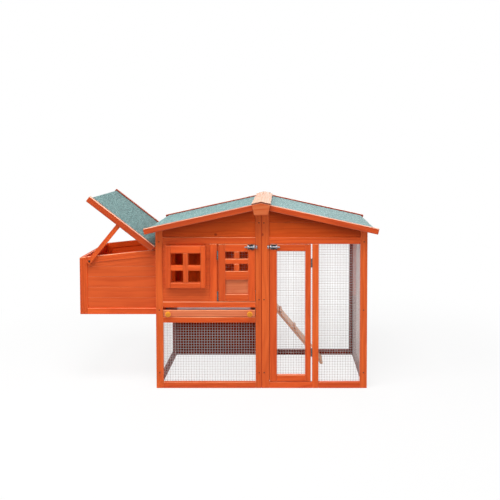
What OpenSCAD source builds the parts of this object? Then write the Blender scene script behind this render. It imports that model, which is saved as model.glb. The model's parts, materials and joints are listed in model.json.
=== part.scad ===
// Timber chicken coop: a raised house, a wire run under one gable roof, and a nest box with a lift-up lid.
// The seam between house and run is at x = 0, the front face at y = 0 and the ground at z = 0.

/* [Overall] */
// Width of the house module
house_w = 600; // [540:1:800]
// Width of the run module
run_w = 600; // [520:1:900]
// Depth of both modules, front face to back face
depth = 600; // [520:1:800]
// Thickness of every framed wall
wall_t = 22; // [18:1:30]
// Thickness of boards set into the frames
board_t = 12; // [8:1:16]
// How far the front boards sit behind the frame's face
board_set = 4; // [2:0.5:6]

/* [Front frame] */
// Width of the outer corner posts
corner_post_w = 40; // [34:1:52]
// Width of the house post at the seam
seam_post_w = 34; // [30:1:44]
// Width of the run post that takes the bolts
latch_post_w = 44; // [36:1:54]
// Width of the run post beside the door hinges
mid_post_w = 36; // [30:1:46]
// Width of the stile between window and door
mid_stile_w = 40; // [30:1:50]
// Height of the bottom rails
bottom_rail_h = 36; // [28:1:46]
// Height of the open space under the house
under_h = 378; // [300:1:460]
// Height of the rail under the tray
low_rail_h = 32; // [26:1:40]
// Height of the tray slot
tray_slot_h = 55; // [48:1:70]
// Height of the rail over the tray
sill_rail_h = 33; // [26:1:40]
// Height of the bay that holds the window and the doors' tops
bay_h = 330; // [310:1:380]
// Height of the top rail
top_rail_h = 38; // [30:1:46]
// Height of wall above the top rail at the outer corners
gable_strip = 48; // [36:1:70]

/* [Roof] */
// Slope of both roof sides in degrees
roof_pitch = 12.4; // [8:0.2:20]
// Thickness of the roof boards
deck_t = 9; // [6:0.5:15]
// Thickness of the mineral felt
felt_t = 3; // [2:0.5:5]
// Overhang of the barge board ends past the side walls
eave_over = 58; // [40:1:90]
// How far the barge boards run on past the felt
barge_over = 18; // [8:1:26]
// Overhang of the barge boards' face at front and back
gable_over = 60; // [40:1:90]
// Thickness of the barge boards
barge_t = 17; // [12:1:22]
// Height of the barge boards, square to the slope
barge_h = 34; // [28:1:50]
// How far the barge boards stand above the felt
barge_proud = 8; // [4:0.5:12]
// Half width of the ridge cap
cap_half_w = 53; // [40:1:80]
// Thickness of the ridge cap
cap_t = 9; // [6:0.5:14]
// Height of the ridge end blocks below the cap's edge
block_h = 56; // [40:1:70]
// Thickness of the ridge end blocks
block_t = 15; // [10:1:20]

/* [Window] */
// Width of one window light
light_w = 70; // [50:1:80]
// Height of one window light
light_h = 70; // [50:1:80]
// Width of the window's bars and sides
window_bar = 28; // [18:1:34]
// Height of the window's head
window_head = 42; // [24:1:50]
// How far the window stands in front of the panel
window_proud = 30; // [16:1:40]
// Height of the window's lower edge above the sill rail
window_lift = 85; // [50:1:90]

/* [Doors] */
// Width of the house door
house_door_w = 209; // [190:1:240]
// Width of the run door
run_door_w = 234; // [200:1:280]
// Thickness of both doors
door_t = 20; // [16:1:24]
// Gap around the doors
door_gap = 2; // [1.5:0.1:4]
// Gap at the hinge side, which holds the hinge leaves
hinge_gap = 8; // [7.5:0.1:9]
// Width of the house door's sides
door_side_w = 40; // [30:1:46]
// Width of one small door light
small_light_w = 49; // [30:1:55]
// Height of one small door light
small_light_h = 41; // [30:1:46]
// Height of one bar between the small lights
small_bar_h = 29; // [20:1:34]
// Height of the house door's top rail
door_head_h = 42; // [36:1:48]
// Height of the recessed lower panel
door_panel_h = 84; // [60:1:90]
// Height of the house door's bottom rail
door_foot_h = 40; // [30:1:46]
// Width of the run door's latch stile
latch_stile_w = 41; // [34:1:48]
// Width of the run door's hinge stile
hinge_stile_w = 32; // [26:1:40]
// Height of the run door's rails
run_door_rail_h = 39; // [34:1:48]

/* [Wire mesh] */
// Pitch of the wires that are modelled
mesh_pitch = 65; // [60:1:90]
// Width of one wire
wire_w = 2.4; // [1.6:0.1:4]
// Thickness of a mesh panel
mesh_t = 2; // [1.5:0.1:3]
// How far a mesh panel laps onto its frame
mesh_lap = 10; // [6:1:14]

/* [Nest box] */
// Length of the nest box out from the house wall
nest_l = 440; // [360:1:520]
// Setback of the nest box from the front and back faces
nest_set = 32; // [30:1:50]
// Width of the nest's corner posts
nest_post_w = 44; // [34:1:50]
// Thickness of the nest's walls
nest_wall_t = 20; // [16:1:26]
// Height of the lid's hinge line above the nest's underside
nest_wall_h = 377; // [340:1:390]
// Height of the nest's rails
nest_rail_h = 36; // [28:1:44]
// Downward slope of the nest's top in degrees
nest_slope = 6; // [3:0.5:10]
// Angle of the open lid above level in degrees
lid_open = 38; // [25:0.5:38]
// Length of the lid's rails from the hinge line
lid_l = 473; // [462:1:520]
// Thickness of the lid's board
lid_deck_t = 10; // [8:0.5:14]
// Height of the lid's side rails
lid_rail_h = 37; // [30:1:40]
// Distance of the hinge line from the house wall
lid_axis_out = 6; // [5.5:0.1:8]

/* [Prop] */
// Clearance between the prop's tip and the lid's board
prop_play = 9; // [8:0.5:12]
// Width of the prop
prop_w = 25; // [16:1:26]
// Thickness of the prop
prop_t = 12; // [8:0.5:13]
// Angle of the standing prop above level in degrees
prop_angle = 50.8; // [46:0.2:58]

/* [Tray] */
// Height of the tray's wooden front
tray_front_h = 37; // [30:1:44]
// Thickness of the tray's front
tray_front_t = 18; // [14:1:22]
// Height of the tray pan's walls
pan_h = 26; // [18:1:30]
// Thickness of the tray pan's sheet
pan_t = 1.5; // [1:0.1:2.5]
// Diameter of the tray knobs
knob_d = 32; // [24:1:35]
// Distance of the knobs from the tray front's ends
knob_inset = 30; // [20:1:60]

/* [Ramp] */
// Slope of the ramp in degrees
ramp_slope = 50; // [40:1:56]
// Width of the ramp board
ramp_w = 140; // [110:1:170]
// Thickness of the ramp board
ramp_t = 15; // [12:1:20]
// Distance of the ramp's rear edge from the back face
ramp_back = 70; // [50:1:110]
// Number of cleats on the ramp
cleat_count = 3; // [3:1:7]
// Height of the pop hole
pop_h = 280; // [220:1:320]
// Width of the pop hole
pop_w = 180; // [176:1:230]

/* [Fittings] */
// Radius of the hinge pins
pin_r = 1.6; // [1.2:0.1:1.9]
// Radius of the hinge knuckles
knuckle_r = 3.2; // [2.8:0.1:3.4]
// Thickness of the hinge leaves
leaf_t = 1.5; // [1:0.1:1.7]
// Length of a hinge
hinge_l = 50; // [40:1:70]
// Radial running clearance of the pins
pin_play = 0.05; // [0.02:0.01:0.1]
// Radius of the barrel bolts' rods
rod_r = 4; // [3:0.1:5]
// Travel of the barrel bolts
bolt_travel = 16; // [12:1:18]
// Radius of the frame screws' heads
screw_r = 3.6; // [2.5:0.1:5]
// Height of the frame screws' heads
screw_h = 1.2; // [0.6:0.1:2]

/* [Hidden] */
$fn = 32;

// Colours
stain = [0.82, 0.34, 0.14];
board_stain = [0.78, 0.40, 0.20];
pale_wood = [0.93, 0.72, 0.56];
felt_green = [0.47, 0.68, 0.65];
zinc = [0.72, 0.73, 0.74];
dark_steel = [0.20, 0.17, 0.15];
knob_yellow = [0.93, 0.58, 0.16];

// Heights of the front frame, stacked from the ground
slot_z = under_h + low_rail_h;
sill_z = slot_z + tray_slot_h;
bay_z = sill_z + sill_rail_h;
top_z = bay_z + bay_h;
gable_z = top_z + top_rail_h;
eave_z = gable_z + gable_strip;

// Places along the house front, left to right
panel_x0 = corner_post_w - house_w;
door_x1 = -seam_post_w - door_gap;
door_x0 = door_x1 - house_door_w;
stile_x1 = door_x0 - hinge_gap;
stile_x0 = stile_x1 - mid_stile_w;
door_z0 = bay_z + door_gap;
door_z1 = top_z - door_gap;

// Places along the run front, left to right
run_door_x0 = latch_post_w + door_gap;
run_door_x1 = run_door_x0 + run_door_w;
mid_post_x0 = run_door_x1 + hinge_gap;
mid_post_x1 = mid_post_x0 + mid_post_w;
run_bay_x1 = run_w - corner_post_w;
run_door_z0 = bottom_rail_h + door_gap;

// Roof, with its heights square to the slope turned upright
split = 0.4;
rise = tan(roof_pitch);
lean = cos(roof_pitch);
ridge_z = eave_z + max(house_w, run_w) * rise;
deck_top = deck_t / lean;
felt_top = (deck_t + felt_t) / lean;
barge_top = (deck_t + felt_t + barge_proud) / lean;
roof_y0 = -gable_over + barge_t;
roof_y1 = depth - roof_y0;
cap_y0 = -gable_over - block_t;
block_set = 2;
block_half_w = cap_half_w - block_set;
block_taper = 12;
felt_bed = 0.05;
cap_bed = 0.15;

// Sides and floor
side_stile_w = 36;
side_y0 = wall_t + side_stile_w;
side_y1 = depth - side_y0;
nest_lift = 8;
nest_z = slot_z + nest_lift;
floor_rail_up = 16;
floor_rail_z1 = nest_z + floor_rail_up;
runner_h = 20;
runner_lap = 20;
runner_up = 2;
runner_z1 = slot_z + runner_up;
runner_play = 0.5;
pop_y1 = depth - ramp_back + (pop_w - ramp_w) / 2;

// Nest box and lid
nest_x0 = -house_w - nest_l;
nest_y0 = nest_set;
nest_y1 = depth - nest_set;
nest_floor_t = 9;
lid_axis_x = -house_w - lid_axis_out;
lid_axis_z = nest_z + nest_wall_h;
lid_under = 4;
lid_rest = 0.5;
lid_inner = 9;
lid_rail_t = 17;
lid_rail_drop = lid_under + lid_rail_h - lid_deck_t - felt_t - barge_proud;
header_h = 38;
header_drop = 5;
header_z0 = lid_axis_z - header_drop;

// Prop, whose tip stops just short of the lid's board
prop_foot_inset = 60;
prop_foot_x = nest_x0 + prop_foot_inset;
prop_foot_drop = 25;
prop_end = 14;
prop_side_play = 0.8;
prop_pin_r = 3;
prop_head_r = 6;
prop_head_t = 2;

// Hinges and bolts
leaf_gap = 0.6;
leaf_start = knuckle_r + leaf_gap;
leaf_lap = 0.1;
leaf_d = 14;
knuckle_end_play = 0.3;
house_hinge_up = 30;
house_hinge_down = 62;
house_hinge_z = [door_z0 + house_hinge_up, door_z1 - house_hinge_down];
run_hinge_up = 170;
run_hinge_down = 106;
run_hinge_z = [run_door_z0 + run_hinge_up, door_z1 - run_hinge_down];
lid_hinge_inset = 130;
bolt_drop = 17;
bolt_z = top_z - bolt_drop;
bolt_plate_t = 1.5;
bolt_plate_h = 24;
bolt_guide_w = 6;
bolt_guide_h = 14;
bolt_guide_end = 9;
bolt_plate_l = 40;
bolt_guide_wall = 1.5;
bolt_rod_y = -bolt_plate_t - rod_r - bolt_guide_wall;
bolt_guide_y = bolt_rod_y - rod_r - bolt_guide_wall;
bolt_end_set = 1;
stub_r = 2.4;
stub_l = 12.8;
keeper_w = 10;
keeper_set = 1;
keeper_play = 0.4;

// Ramp, whose foot stops on the ground
ramp_axis_out = 6;
ramp_axis_drop = 2;
ramp_axis_z = floor_rail_z1 - ramp_axis_drop;
ramp_under = 4;
ramp_inner = 9;
foot_gap = 0.3;
ramp_l = (ramp_axis_z - ramp_under * cos(ramp_slope) - foot_gap) / sin(ramp_slope);
ramp_y0 = depth - ramp_back - ramp_w;
cleat_w = 14;
cleat_h = 8;
cleat_inset = 6;

// How far cutting shapes run past the faces they cut
cut = 1;

// Origin at the middle of the footprint
mid_x = (nest_x0 + run_w + eave_over) / 2;

// Underside of the roof above a place along the front
function roof_under(x) = ridge_z - abs(x) * rise;

// Top edge of the nest walls, just below the closed lid
function nest_top(x) = lid_axis_z - (lid_under + lid_rest) / cos(nest_slope)
    + (x - lid_axis_x) * tan(nest_slope);

// Height of the prop's pivot
prop_foot_z = nest_top(prop_foot_x) - prop_foot_drop;

// Distance from the prop's pivot to the open lid's board, along the prop
function prop_reach() =
    ((lid_axis_x - prop_foot_x) * sin(lid_open) + (lid_axis_z - prop_foot_z) * cos(lid_open) - lid_under)
    / sin(lid_open + prop_angle);

prop_l = prop_reach() - prop_play;

// Puts a piece into the part's own frame
module place() translate([-mid_x, -depth / 2, 0]) children();

// Box between two corners
module bar(low, high) translate(low) cube(high - low);

// Outline in x and z, extruded from y0 to y1
module slab(points, y0, y1)
    translate([0, y1, 0]) rotate([90, 0, 0]) linear_extrude(y1 - y0) polygon(points);

// Upright board whose top follows the roof
module roofed(x0, x1, y0, y1, z0) {
    slab([[x0, z0], [x1, z0], [x1, roof_under(x1)], [x0, roof_under(x0)]], y0, y1);
}

// Repeats a piece of the front at the back
module front_and_back() {
    children();
    translate([0, depth, 0]) mirror([0, 1, 0]) children();
}

// Square gaps between the wires of a mesh panel
module mesh_gaps(size) {
    cols = max(1, round(size.x / mesh_pitch));
    rows = max(1, round(size.y / mesh_pitch));
    cell = [size.x / cols, size.y / rows];
    for (i = [0:cols - 1], j = [0:rows - 1])
        translate([i * cell.x + wire_w / 2, j * cell.y + wire_w / 2])
            square([cell.x - wire_w, cell.y - wire_w]);
}

// Flat mesh panel in x and z
module mesh_panel(size) {
    translate([0, mesh_t, 0]) rotate([90, 0, 0]) linear_extrude(mesh_t) difference() {
        square(size);
        mesh_gaps(size);
    }
}

// Flat mesh panel in y and z
module side_mesh(size) translate([mesh_t, 0, 0]) rotate([0, 0, 90]) mesh_panel(size);

// House front
module house_front_posts() color(stain) place() {
    roofed(-house_w, panel_x0, 0, wall_t, 0);
    roofed(-seam_post_w, 0, 0, wall_t, 0);
}

module house_front_rails() color(stain) place()
    for (span = [[0, bottom_rail_h], [under_h, slot_z], [sill_z, bay_z], [top_z, gable_z]])
        bar([panel_x0, 0, span[0]], [-seam_post_w, wall_t, span[1]]);

module house_mid_stile() color(stain) place() bar([stile_x0, 0, bay_z], [stile_x1, wall_t, top_z]);

module house_gable_boards() color(board_stain) place()
    roofed(panel_x0, -seam_post_w, board_set, board_set + board_t, gable_z);

// Window
window_w = 2 * light_w + 3 * window_bar;
window_h = 2 * light_h + 2 * window_bar + window_head;
window_x0 = (panel_x0 + stile_x0 - window_w) / 2;
window_z0 = bay_z + window_lift;
glue_line = 0.1;

module window_panel() color(board_stain) place() difference() {
    bar([panel_x0, board_set, bay_z], [stile_x0, board_set + board_t, top_z]);
    bar([window_x0 + window_bar, 0, window_z0 + window_bar],
        [window_x0 + window_w - window_bar, wall_t, window_z0 + window_h - window_head]);
}

// One stick of the window, rebated where it laps a post or the stile
module window_stick(x0, x1, z0, z1) difference() {
    bar([x0, board_set - window_proud, z0], [x1, board_set, z1]);
    bar([panel_x0 - window_w, 0, z0 - cut], [panel_x0, wall_t, z1 + cut]);
    bar([stile_x0, 0, z0 - cut], [stile_x0 + window_w, wall_t, z1 + cut]);
}

module window_frame() color(stain) place() {
    x0 = window_x0 + window_bar;
    x1 = window_x0 + window_w - window_bar;
    z0 = window_z0 + window_bar;
    z1 = window_z0 + window_h - window_head;
    for (x = [window_x0, x1])
        window_stick(x, x + window_bar, window_z0, window_z0 + window_h);
    window_stick(x0 + glue_line, x1 - glue_line, window_z0, z0);
    window_stick(x0 + glue_line, x1 - glue_line, z1, window_z0 + window_h);
    window_stick(x0 + light_w, x1 - light_w, z0 + glue_line, z1 - glue_line);
    for (x = [x0, x1 - light_w])
        window_stick(x + glue_line, x + light_w - glue_line, z0 + light_h, z1 - light_h);
}

module under_house_mesh() color(zinc) place()
    translate([panel_x0 - mesh_lap, wall_t, bottom_rail_h - mesh_lap])
        mesh_panel([-seam_post_w - panel_x0 + 2 * mesh_lap, under_h - bottom_rail_h + 2 * mesh_lap]);

// House back
module house_back_posts() color(stain) place() {
    roofed(-house_w, panel_x0, depth - wall_t, depth, 0);
    roofed(-seam_post_w, 0, depth - wall_t, depth, 0);
}

module house_back_boards() color(board_stain) place()
    roofed(panel_x0, -seam_post_w, depth - board_set - board_t, depth - board_set, bottom_rail_h);

module back_rails() color(stain) place() {
    bar([panel_x0, depth - wall_t, 0], [-seam_post_w, depth, bottom_rail_h]);
    bar([seam_post_w, depth - wall_t, 0], [run_bay_x1, depth, bottom_rail_h]);
    bar([seam_post_w, depth - wall_t, top_z - top_rail_h], [run_bay_x1, depth, top_z]);
}

// Sides
module side_stiles() color(stain) place() front_and_back() {
    bar([-house_w, wall_t, 0], [wall_t - house_w, side_y0, roof_under(house_w)]);
    bar([run_w - wall_t, wall_t, 0], [run_w, side_y0, roof_under(run_w)]);
}

module side_rails() color(stain) place() {
    for (span = [[0, bottom_rail_h], [under_h, nest_z], [header_z0, header_z0 + header_h]])
        bar([-house_w, side_y0, span[0]], [wall_t - house_w, side_y1, span[1]]);
    for (span = [[0, bottom_rail_h], [gable_z, roof_under(run_w)]])
        bar([run_w - wall_t, side_y0, span[0]], [run_w, side_y1, span[1]]);
}

module house_side_boards() color(board_stain) place()
    bar([board_set - house_w, side_y0, header_z0 + header_h],
        [board_set + board_t - house_w, side_y1, roof_under(house_w)]);

module house_side_mesh() color(zinc) place()
    translate([wall_t - house_w, side_y0 - mesh_lap, bottom_rail_h - mesh_lap])
        side_mesh([side_y1 - side_y0 + 2 * mesh_lap, under_h - bottom_rail_h + 2 * mesh_lap]);

module run_side_mesh() color(zinc) place()
    translate([run_w - wall_t - mesh_t, side_y0 - mesh_lap, bottom_rail_h - mesh_lap])
        side_mesh([side_y1 - side_y0 + 2 * mesh_lap, gable_z - bottom_rail_h + 2 * mesh_lap]);

// Partition with its pop hole
module partition_rail() color(stain) place()
    bar([-wall_t, wall_t, under_h], [0, depth - wall_t, floor_rail_z1]);

module partition_boards() color(board_stain) place() difference() {
    bar([-wall_t, wall_t, floor_rail_z1], [board_t - wall_t, depth - wall_t, roof_under(wall_t)]);
    bar([-wall_t - cut, pop_y1 - pop_w, floor_rail_z1 - cut], [cut, pop_y1, floor_rail_z1 + pop_h]);
}

// Tray
tray_x0 = panel_x0 + door_gap;
tray_x1 = -seam_post_w - door_gap;
pan_z0 = runner_z1 + runner_play;
pan_y1 = depth - wall_t - runner_lap;
knob_z = pan_z0 + tray_front_h / 2;

module tray_runners() color(board_stain) place() {
    bar([wall_t - house_w, wall_t + mesh_t, runner_z1 - runner_h],
        [panel_x0 + runner_lap, depth - wall_t, runner_z1]);
    bar([-seam_post_w - runner_lap, wall_t + mesh_t, runner_z1 - runner_h],
        [-wall_t, depth - wall_t, runner_z1]);
}

module tray_pan() color(zinc) place() difference() {
    bar([tray_x0, tray_front_t, pan_z0], [tray_x1, pan_y1, pan_z0 + pan_h]);
    bar([tray_x0 + pan_t, tray_front_t + pan_t, pan_z0 + pan_t],
        [tray_x1 - pan_t, pan_y1 - pan_t, pan_z0 + pan_h + cut]);
}

module tray_front() color(stain) place()
    bar([tray_x0, 0, pan_z0], [tray_x1, tray_front_t, pan_z0 + tray_front_h]);

// Turned knob: a foot, a neck, and a head that is round at its edge
knob_foot_r = 9;
knob_neck_r = 8;
knob_neck_l = 6.4;
knob_l = 24;
knob_ease = 2.6;

module tray_knobs() color(knob_yellow) place()
    for (x = [tray_x0 + knob_inset, tray_x1 - knob_inset])
        translate([x, 0, knob_z]) rotate([90, 0, 0]) rotate_extrude() polygon([
            [0, 0], [knob_foot_r, 0], [knob_neck_r, knob_neck_l],
            [knob_d / 2 - knob_ease, knob_neck_l + knob_ease],
            [knob_d / 2, (knob_neck_l + knob_l) / 2],
            [knob_d / 2 - knob_ease, knob_l - knob_ease], [0, knob_l]
        ]);

// Run
module run_front_posts() color(stain) place() {
    roofed(0, latch_post_w, 0, wall_t, 0);
    bar([mid_post_x0, 0, 0], [mid_post_x1, wall_t, top_z]);
    roofed(run_bay_x1, run_w, 0, wall_t, 0);
}

module run_front_rails() color(stain) place() {
    bar([latch_post_w, 0, 0], [mid_post_x0, wall_t, bottom_rail_h]);
    bar([mid_post_x1, 0, 0], [run_bay_x1, wall_t, bottom_rail_h]);
    bar([latch_post_w, 0, top_z], [run_bay_x1, wall_t, gable_z]);
}

module run_gable_boards() color(board_stain) place()
    roofed(latch_post_w, run_bay_x1, board_set, board_set + board_t, gable_z);

module run_front_mesh() color(zinc) place()
    translate([mid_post_x1 - mesh_lap, wall_t, bottom_rail_h - mesh_lap])
        mesh_panel([run_bay_x1 - mid_post_x1 + 2 * mesh_lap, top_z - bottom_rail_h + 2 * mesh_lap]);

module run_back_posts() color(stain) place() {
    roofed(0, seam_post_w, depth - wall_t, depth, 0);
    roofed(run_bay_x1, run_w, depth - wall_t, depth, 0);
}

// The back mesh runs up into the gable, with a wire along its sloping edge
module run_back_mesh() color(zinc) place() {
    x0 = seam_post_w - mesh_lap;
    x1 = run_bay_x1 + mesh_lap;
    z0 = bottom_rail_h - mesh_lap;
    translate([0, depth - wall_t, 0]) rotate([90, 0, 0]) linear_extrude(mesh_t) difference() {
        polygon([[x0, z0], [x1, z0], [x1, roof_under(x1)], [x0, roof_under(x0)]]);
        intersection() {
            polygon([[x0, z0], [x1, z0], [x1, roof_under(x1) - wire_w], [x0, roof_under(x0) - wire_w]]);
            translate([x0, z0]) mesh_gaps([x1 - x0, roof_under(x0) - z0]);
        }
    }
}

// Roof, each side drawn to the right and mirrored to the left
module both_sides() {
    translate([split / 2, 0, 0]) roof_side(run_w) children();
    translate([-split / 2, 0, 0]) mirror([1, 0, 0]) roof_side(house_w) children();
}

module roof_side(width) {
    $side = width + eave_over;
    children();
}

// Strip of roof from the ridge to x1, between two heights above the deck's underside
module roof_strip(x1, low, high, y0, y1) {
    slab([[0, ridge_z + low], [x1, ridge_z + low - x1 * rise],
          [x1, ridge_z + high - x1 * rise], [0, ridge_z + high]], y0, y1);
}

module roof_deck() color(board_stain) place() both_sides()
    roof_strip($side - barge_over - felt_t, 0, deck_top, roof_y0, roof_y1);

module roof_felt() color(felt_green) place() both_sides() {
    edge = $side - barge_over;
    lip = felt_t - felt_bed;
    roof_strip(edge, deck_top + felt_bed, felt_top, roof_y0, roof_y1);
    slab([for (p = [[lip, 0], [0, 0], [0, felt_top - felt_t / 2], [lip, felt_top - felt_t / 2]])
          [edge - p[0], ridge_z - (edge - p[0]) * rise + p[1]]],
         roof_y0, roof_y1);
}

module barge_boards() color(stain) place() front_and_back() both_sides() {
    tip_z = ridge_z + barge_top - ($side - split / 2) * rise;
    tip_x = $side - split / 2;
    foot = [tip_x - barge_h * sin(roof_pitch), tip_z - barge_h * lean];
    slab([[0, ridge_z + barge_top - barge_h / lean], foot, [tip_x, tip_z], [0, ridge_z + barge_top]],
         -gable_over, roof_y0);
}

module ridge_cap() color(pale_wood) place() {
    peak_z = ridge_z + barge_top + cap_bed;
    edge_z = peak_z - cap_half_w * rise;
    cap_top = cap_t / lean;
    slab([[-cap_half_w, edge_z], [0, peak_z], [cap_half_w, edge_z],
          [cap_half_w, edge_z + cap_top], [0, peak_z + cap_top],
          [-cap_half_w, edge_z + cap_top]], cap_y0, depth - cap_y0);
}

module ridge_end_blocks() color(stain) place() front_and_back() {
    shoulder_z = ridge_z + barge_top - block_half_w * rise;
    foot_half_w = block_half_w - block_taper;
    slab([[-foot_half_w, shoulder_z - block_h], [foot_half_w, shoulder_z - block_h],
          [block_half_w, shoulder_z], [0, ridge_z + barge_top], [-block_half_w, shoulder_z]],
         cap_y0, -gable_over);
}

// Nest box, its walls cut to the slope of the lid
module nest_sloped(x0, x1, y0, y1, z0, drop) {
    slab([[x0, z0], [x1, z0], [x1, nest_top(x1) - drop], [x0, nest_top(x0) - drop]], y0, y1);
}

nest_bay_x0 = nest_x0 + nest_post_w;
nest_end_top = nest_top(nest_x0) - nest_rail_h;

module nest_posts() color(stain) place() front_and_back()
    nest_sloped(nest_x0, nest_bay_x0, nest_y0, nest_y0 + nest_wall_t, nest_z, 0);

module nest_rails() color(stain) place() {
    front_and_back() {
        bar([nest_bay_x0, nest_y0, nest_z], [-house_w, nest_y0 + nest_wall_t, nest_z + nest_rail_h]);
        low = nest_top(nest_bay_x0);
        high = nest_top(-house_w);
        slab([[nest_bay_x0, low - nest_rail_h], [-house_w, high - nest_rail_h], [-house_w, high],
              [nest_bay_x0, low]], nest_y0, nest_y0 + nest_wall_t);
    }
    bar([nest_x0, nest_y0 + nest_wall_t, nest_z],
        [nest_x0 + nest_wall_t, nest_y1 - nest_wall_t, nest_z + nest_rail_h]);
    nest_sloped(nest_x0, nest_x0 + nest_wall_t, nest_y0 + nest_wall_t, nest_y1 - nest_wall_t,
                nest_end_top, 0);
}

module nest_boards() color(board_stain) place() {
    front_and_back()
        nest_sloped(nest_bay_x0, -house_w, nest_y0 + board_set, nest_y0 + board_set + board_t,
                    nest_z + nest_rail_h, nest_rail_h);
    bar([nest_x0 + board_set, nest_y0 + nest_wall_t, nest_z + nest_rail_h],
        [nest_x0 + board_set + board_t, nest_y1 - nest_wall_t, nest_end_top]);
}

module nest_floor() color(board_stain) place()
    bar([nest_x0 + nest_wall_t, nest_y0 + nest_wall_t, nest_z],
        [-house_w, nest_y1 - nest_wall_t, nest_z + nest_floor_t]);

// Nest lid, drawn level to the left of its hinge line and turned open
module lid_frame() translate([lid_axis_x, 0, lid_axis_z]) rotate([0, lid_open, 0]) children();

lid_felt_end = lid_l - barge_over;
lid_deck_top = lid_deck_t - lid_under;

module lid_deck() color(board_stain) place() lid_frame()
    bar([felt_t - lid_felt_end, lid_rail_t, -lid_under], [-lid_inner, depth - lid_rail_t, lid_deck_top]);

module lid_felt() color(felt_green) place() lid_frame() {
    bar([-lid_felt_end, lid_rail_t, lid_deck_top],
        [-lid_inner, depth - lid_rail_t, lid_deck_top + felt_t]);
    bar([-lid_felt_end, lid_rail_t, -lid_under],
        [felt_t - lid_felt_end, depth - lid_rail_t, lid_deck_top + felt_t]);
}

module lid_rails() color(stain) place() front_and_back() lid_frame()
    bar([-lid_l, 0, -lid_rail_drop], [-lid_inner, lid_rail_t, lid_rail_h - lid_rail_drop]);

// Prop stick on its screw
prop_y0 = nest_y0 - prop_side_play - prop_t;

module lid_prop() color(stain) place()
    translate([prop_foot_x, prop_y0, prop_foot_z]) rotate([0, -prop_angle, 0]) difference() {
        union() {
            bar([-prop_end, 0, -prop_w / 2], [prop_l - prop_w / 2, prop_t, prop_w / 2]);
            translate([prop_l - prop_w / 2, prop_t, 0]) rotate([90, 0, 0]) cylinder(d = prop_w, h = prop_t);
        }
        translate([0, 2 * prop_t, 0]) rotate([90, 0, 0])
            cylinder(r = prop_pin_r + pin_play, h = 3 * prop_t);
    }

module prop_pin() color(dark_steel) place()
    translate([prop_foot_x, nest_y0, prop_foot_z]) rotate([90, 0, 0]) {
        cylinder(r = prop_pin_r, h = prop_t + 2 * prop_side_play + prop_head_t);
        translate([0, 0, prop_t + 2 * prop_side_play]) cylinder(r = prop_head_r, h = prop_head_t);
    }

// Butt hinges, drawn about an upright pin with the fixed leaf on the right
knuckle_l = hinge_l / 3;

module knuckle(i, reach) {
    play = i == 1 ? knuckle_end_play : 0;
    translate([0, 0, i * knuckle_l - hinge_l / 2 + play]) {
        cylinder(r = knuckle_r, h = knuckle_l - 2 * play);
        bar([0, 0, 0], [reach, leaf_start, knuckle_l - 2 * play]);
    }
}

// Upright leaf at a reach from the pin
module hinge_leaf(reach)
    bar([reach - leaf_t, leaf_start - leaf_lap, -hinge_l / 2], [reach, leaf_start + leaf_d, hinge_l / 2]);

module hinge_fixed(reach) {
    hinge_leaf(reach);
    knuckle(0, reach);
    knuckle(2, reach);
    translate([0, 0, -hinge_l / 2]) cylinder(r = pin_r, h = hinge_l);
}

module pin_bore() translate([0, 0, -hinge_l]) cylinder(r = pin_r + pin_play, h = 2 * hinge_l);

// Moving half of a door hinge, whose leaf lies on the door's edge
module hinge_door(reach) difference() {
    mirror([1, 0, 0]) {
        hinge_leaf(reach);
        knuckle(1, reach);
    }
    pin_bore();
}

// Moving half of a flap hinge, whose leaf lies under the board
module hinge_flap(under) difference() {
    union() {
        bar([leaf_start, -under - leaf_t, -hinge_l / 2], [leaf_start + 2 * leaf_d, -under, hinge_l / 2]);
        translate([0, 0, knuckle_end_play - knuckle_l / 2]) {
            cylinder(r = knuckle_r, h = knuckle_l - 2 * knuckle_end_play);
            bar([0, -under - leaf_t, 0], [leaf_start + leaf_lap, 0, knuckle_l - 2 * knuckle_end_play]);
        }
    }
    pin_bore();
}

module lid_hinge_wall() color(zinc) place() front_and_back()
    translate([lid_axis_x, lid_hinge_inset, lid_axis_z]) rotate([90, 0, 0]) hinge_fixed(lid_axis_out);

module lid_hinge_leaf() color(zinc) place() front_and_back() lid_frame()
    translate([0, lid_hinge_inset, 0]) rotate([90, 0, 0]) mirror([1, 0, 0]) hinge_flap(lid_under);

house_hinge_x = door_x0 - hinge_gap / 2;
run_hinge_x = run_door_x1 + hinge_gap / 2;

module door_hinge_posts() color(zinc) place() {
    for (z = house_hinge_z)
        translate([house_hinge_x, 0, z]) mirror([1, 0, 0]) hinge_fixed(hinge_gap / 2);
    for (z = run_hinge_z)
        translate([run_hinge_x, 0, z]) hinge_fixed(hinge_gap / 2);
}

// Barrel bolt, drawn with the door's edge at x = 0 and shooting to the right
module bolt_frame(edge_x) translate([edge_x, 0, bolt_z]) children();

module bolt_base() {
    rear = -bolt_guide_end - bolt_plate_l + bolt_guide_w;
    bar([rear, -bolt_plate_t, -bolt_plate_h / 2], [bolt_guide_w - bolt_guide_end, 0, bolt_plate_h / 2]);
    for (x = [-bolt_guide_end, rear]) difference() {
        bar([x, bolt_guide_y, -bolt_guide_h / 2], [x + bolt_guide_w, -bolt_plate_t / 2, bolt_guide_h / 2]);
        translate([x - cut, bolt_rod_y, 0]) rotate([0, 90, 0])
            cylinder(r = rod_r + pin_play, h = bolt_guide_w + 2 * cut);
    }
}

module bolt_rod() {
    rod_l = bolt_guide_end + bolt_plate_l + bolt_travel - bolt_guide_w;
    stub_x = 2 * bolt_guide_w + bolt_end_set + stub_r - bolt_guide_end - bolt_plate_l;
    translate([-rod_l, bolt_rod_y, 0]) rotate([0, 90, 0]) cylinder(r = rod_r, h = rod_l - bolt_end_set);
    translate([stub_x, bolt_rod_y, 0]) rotate([90, 0, 0]) cylinder(r = stub_r, h = stub_l);
}

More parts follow.
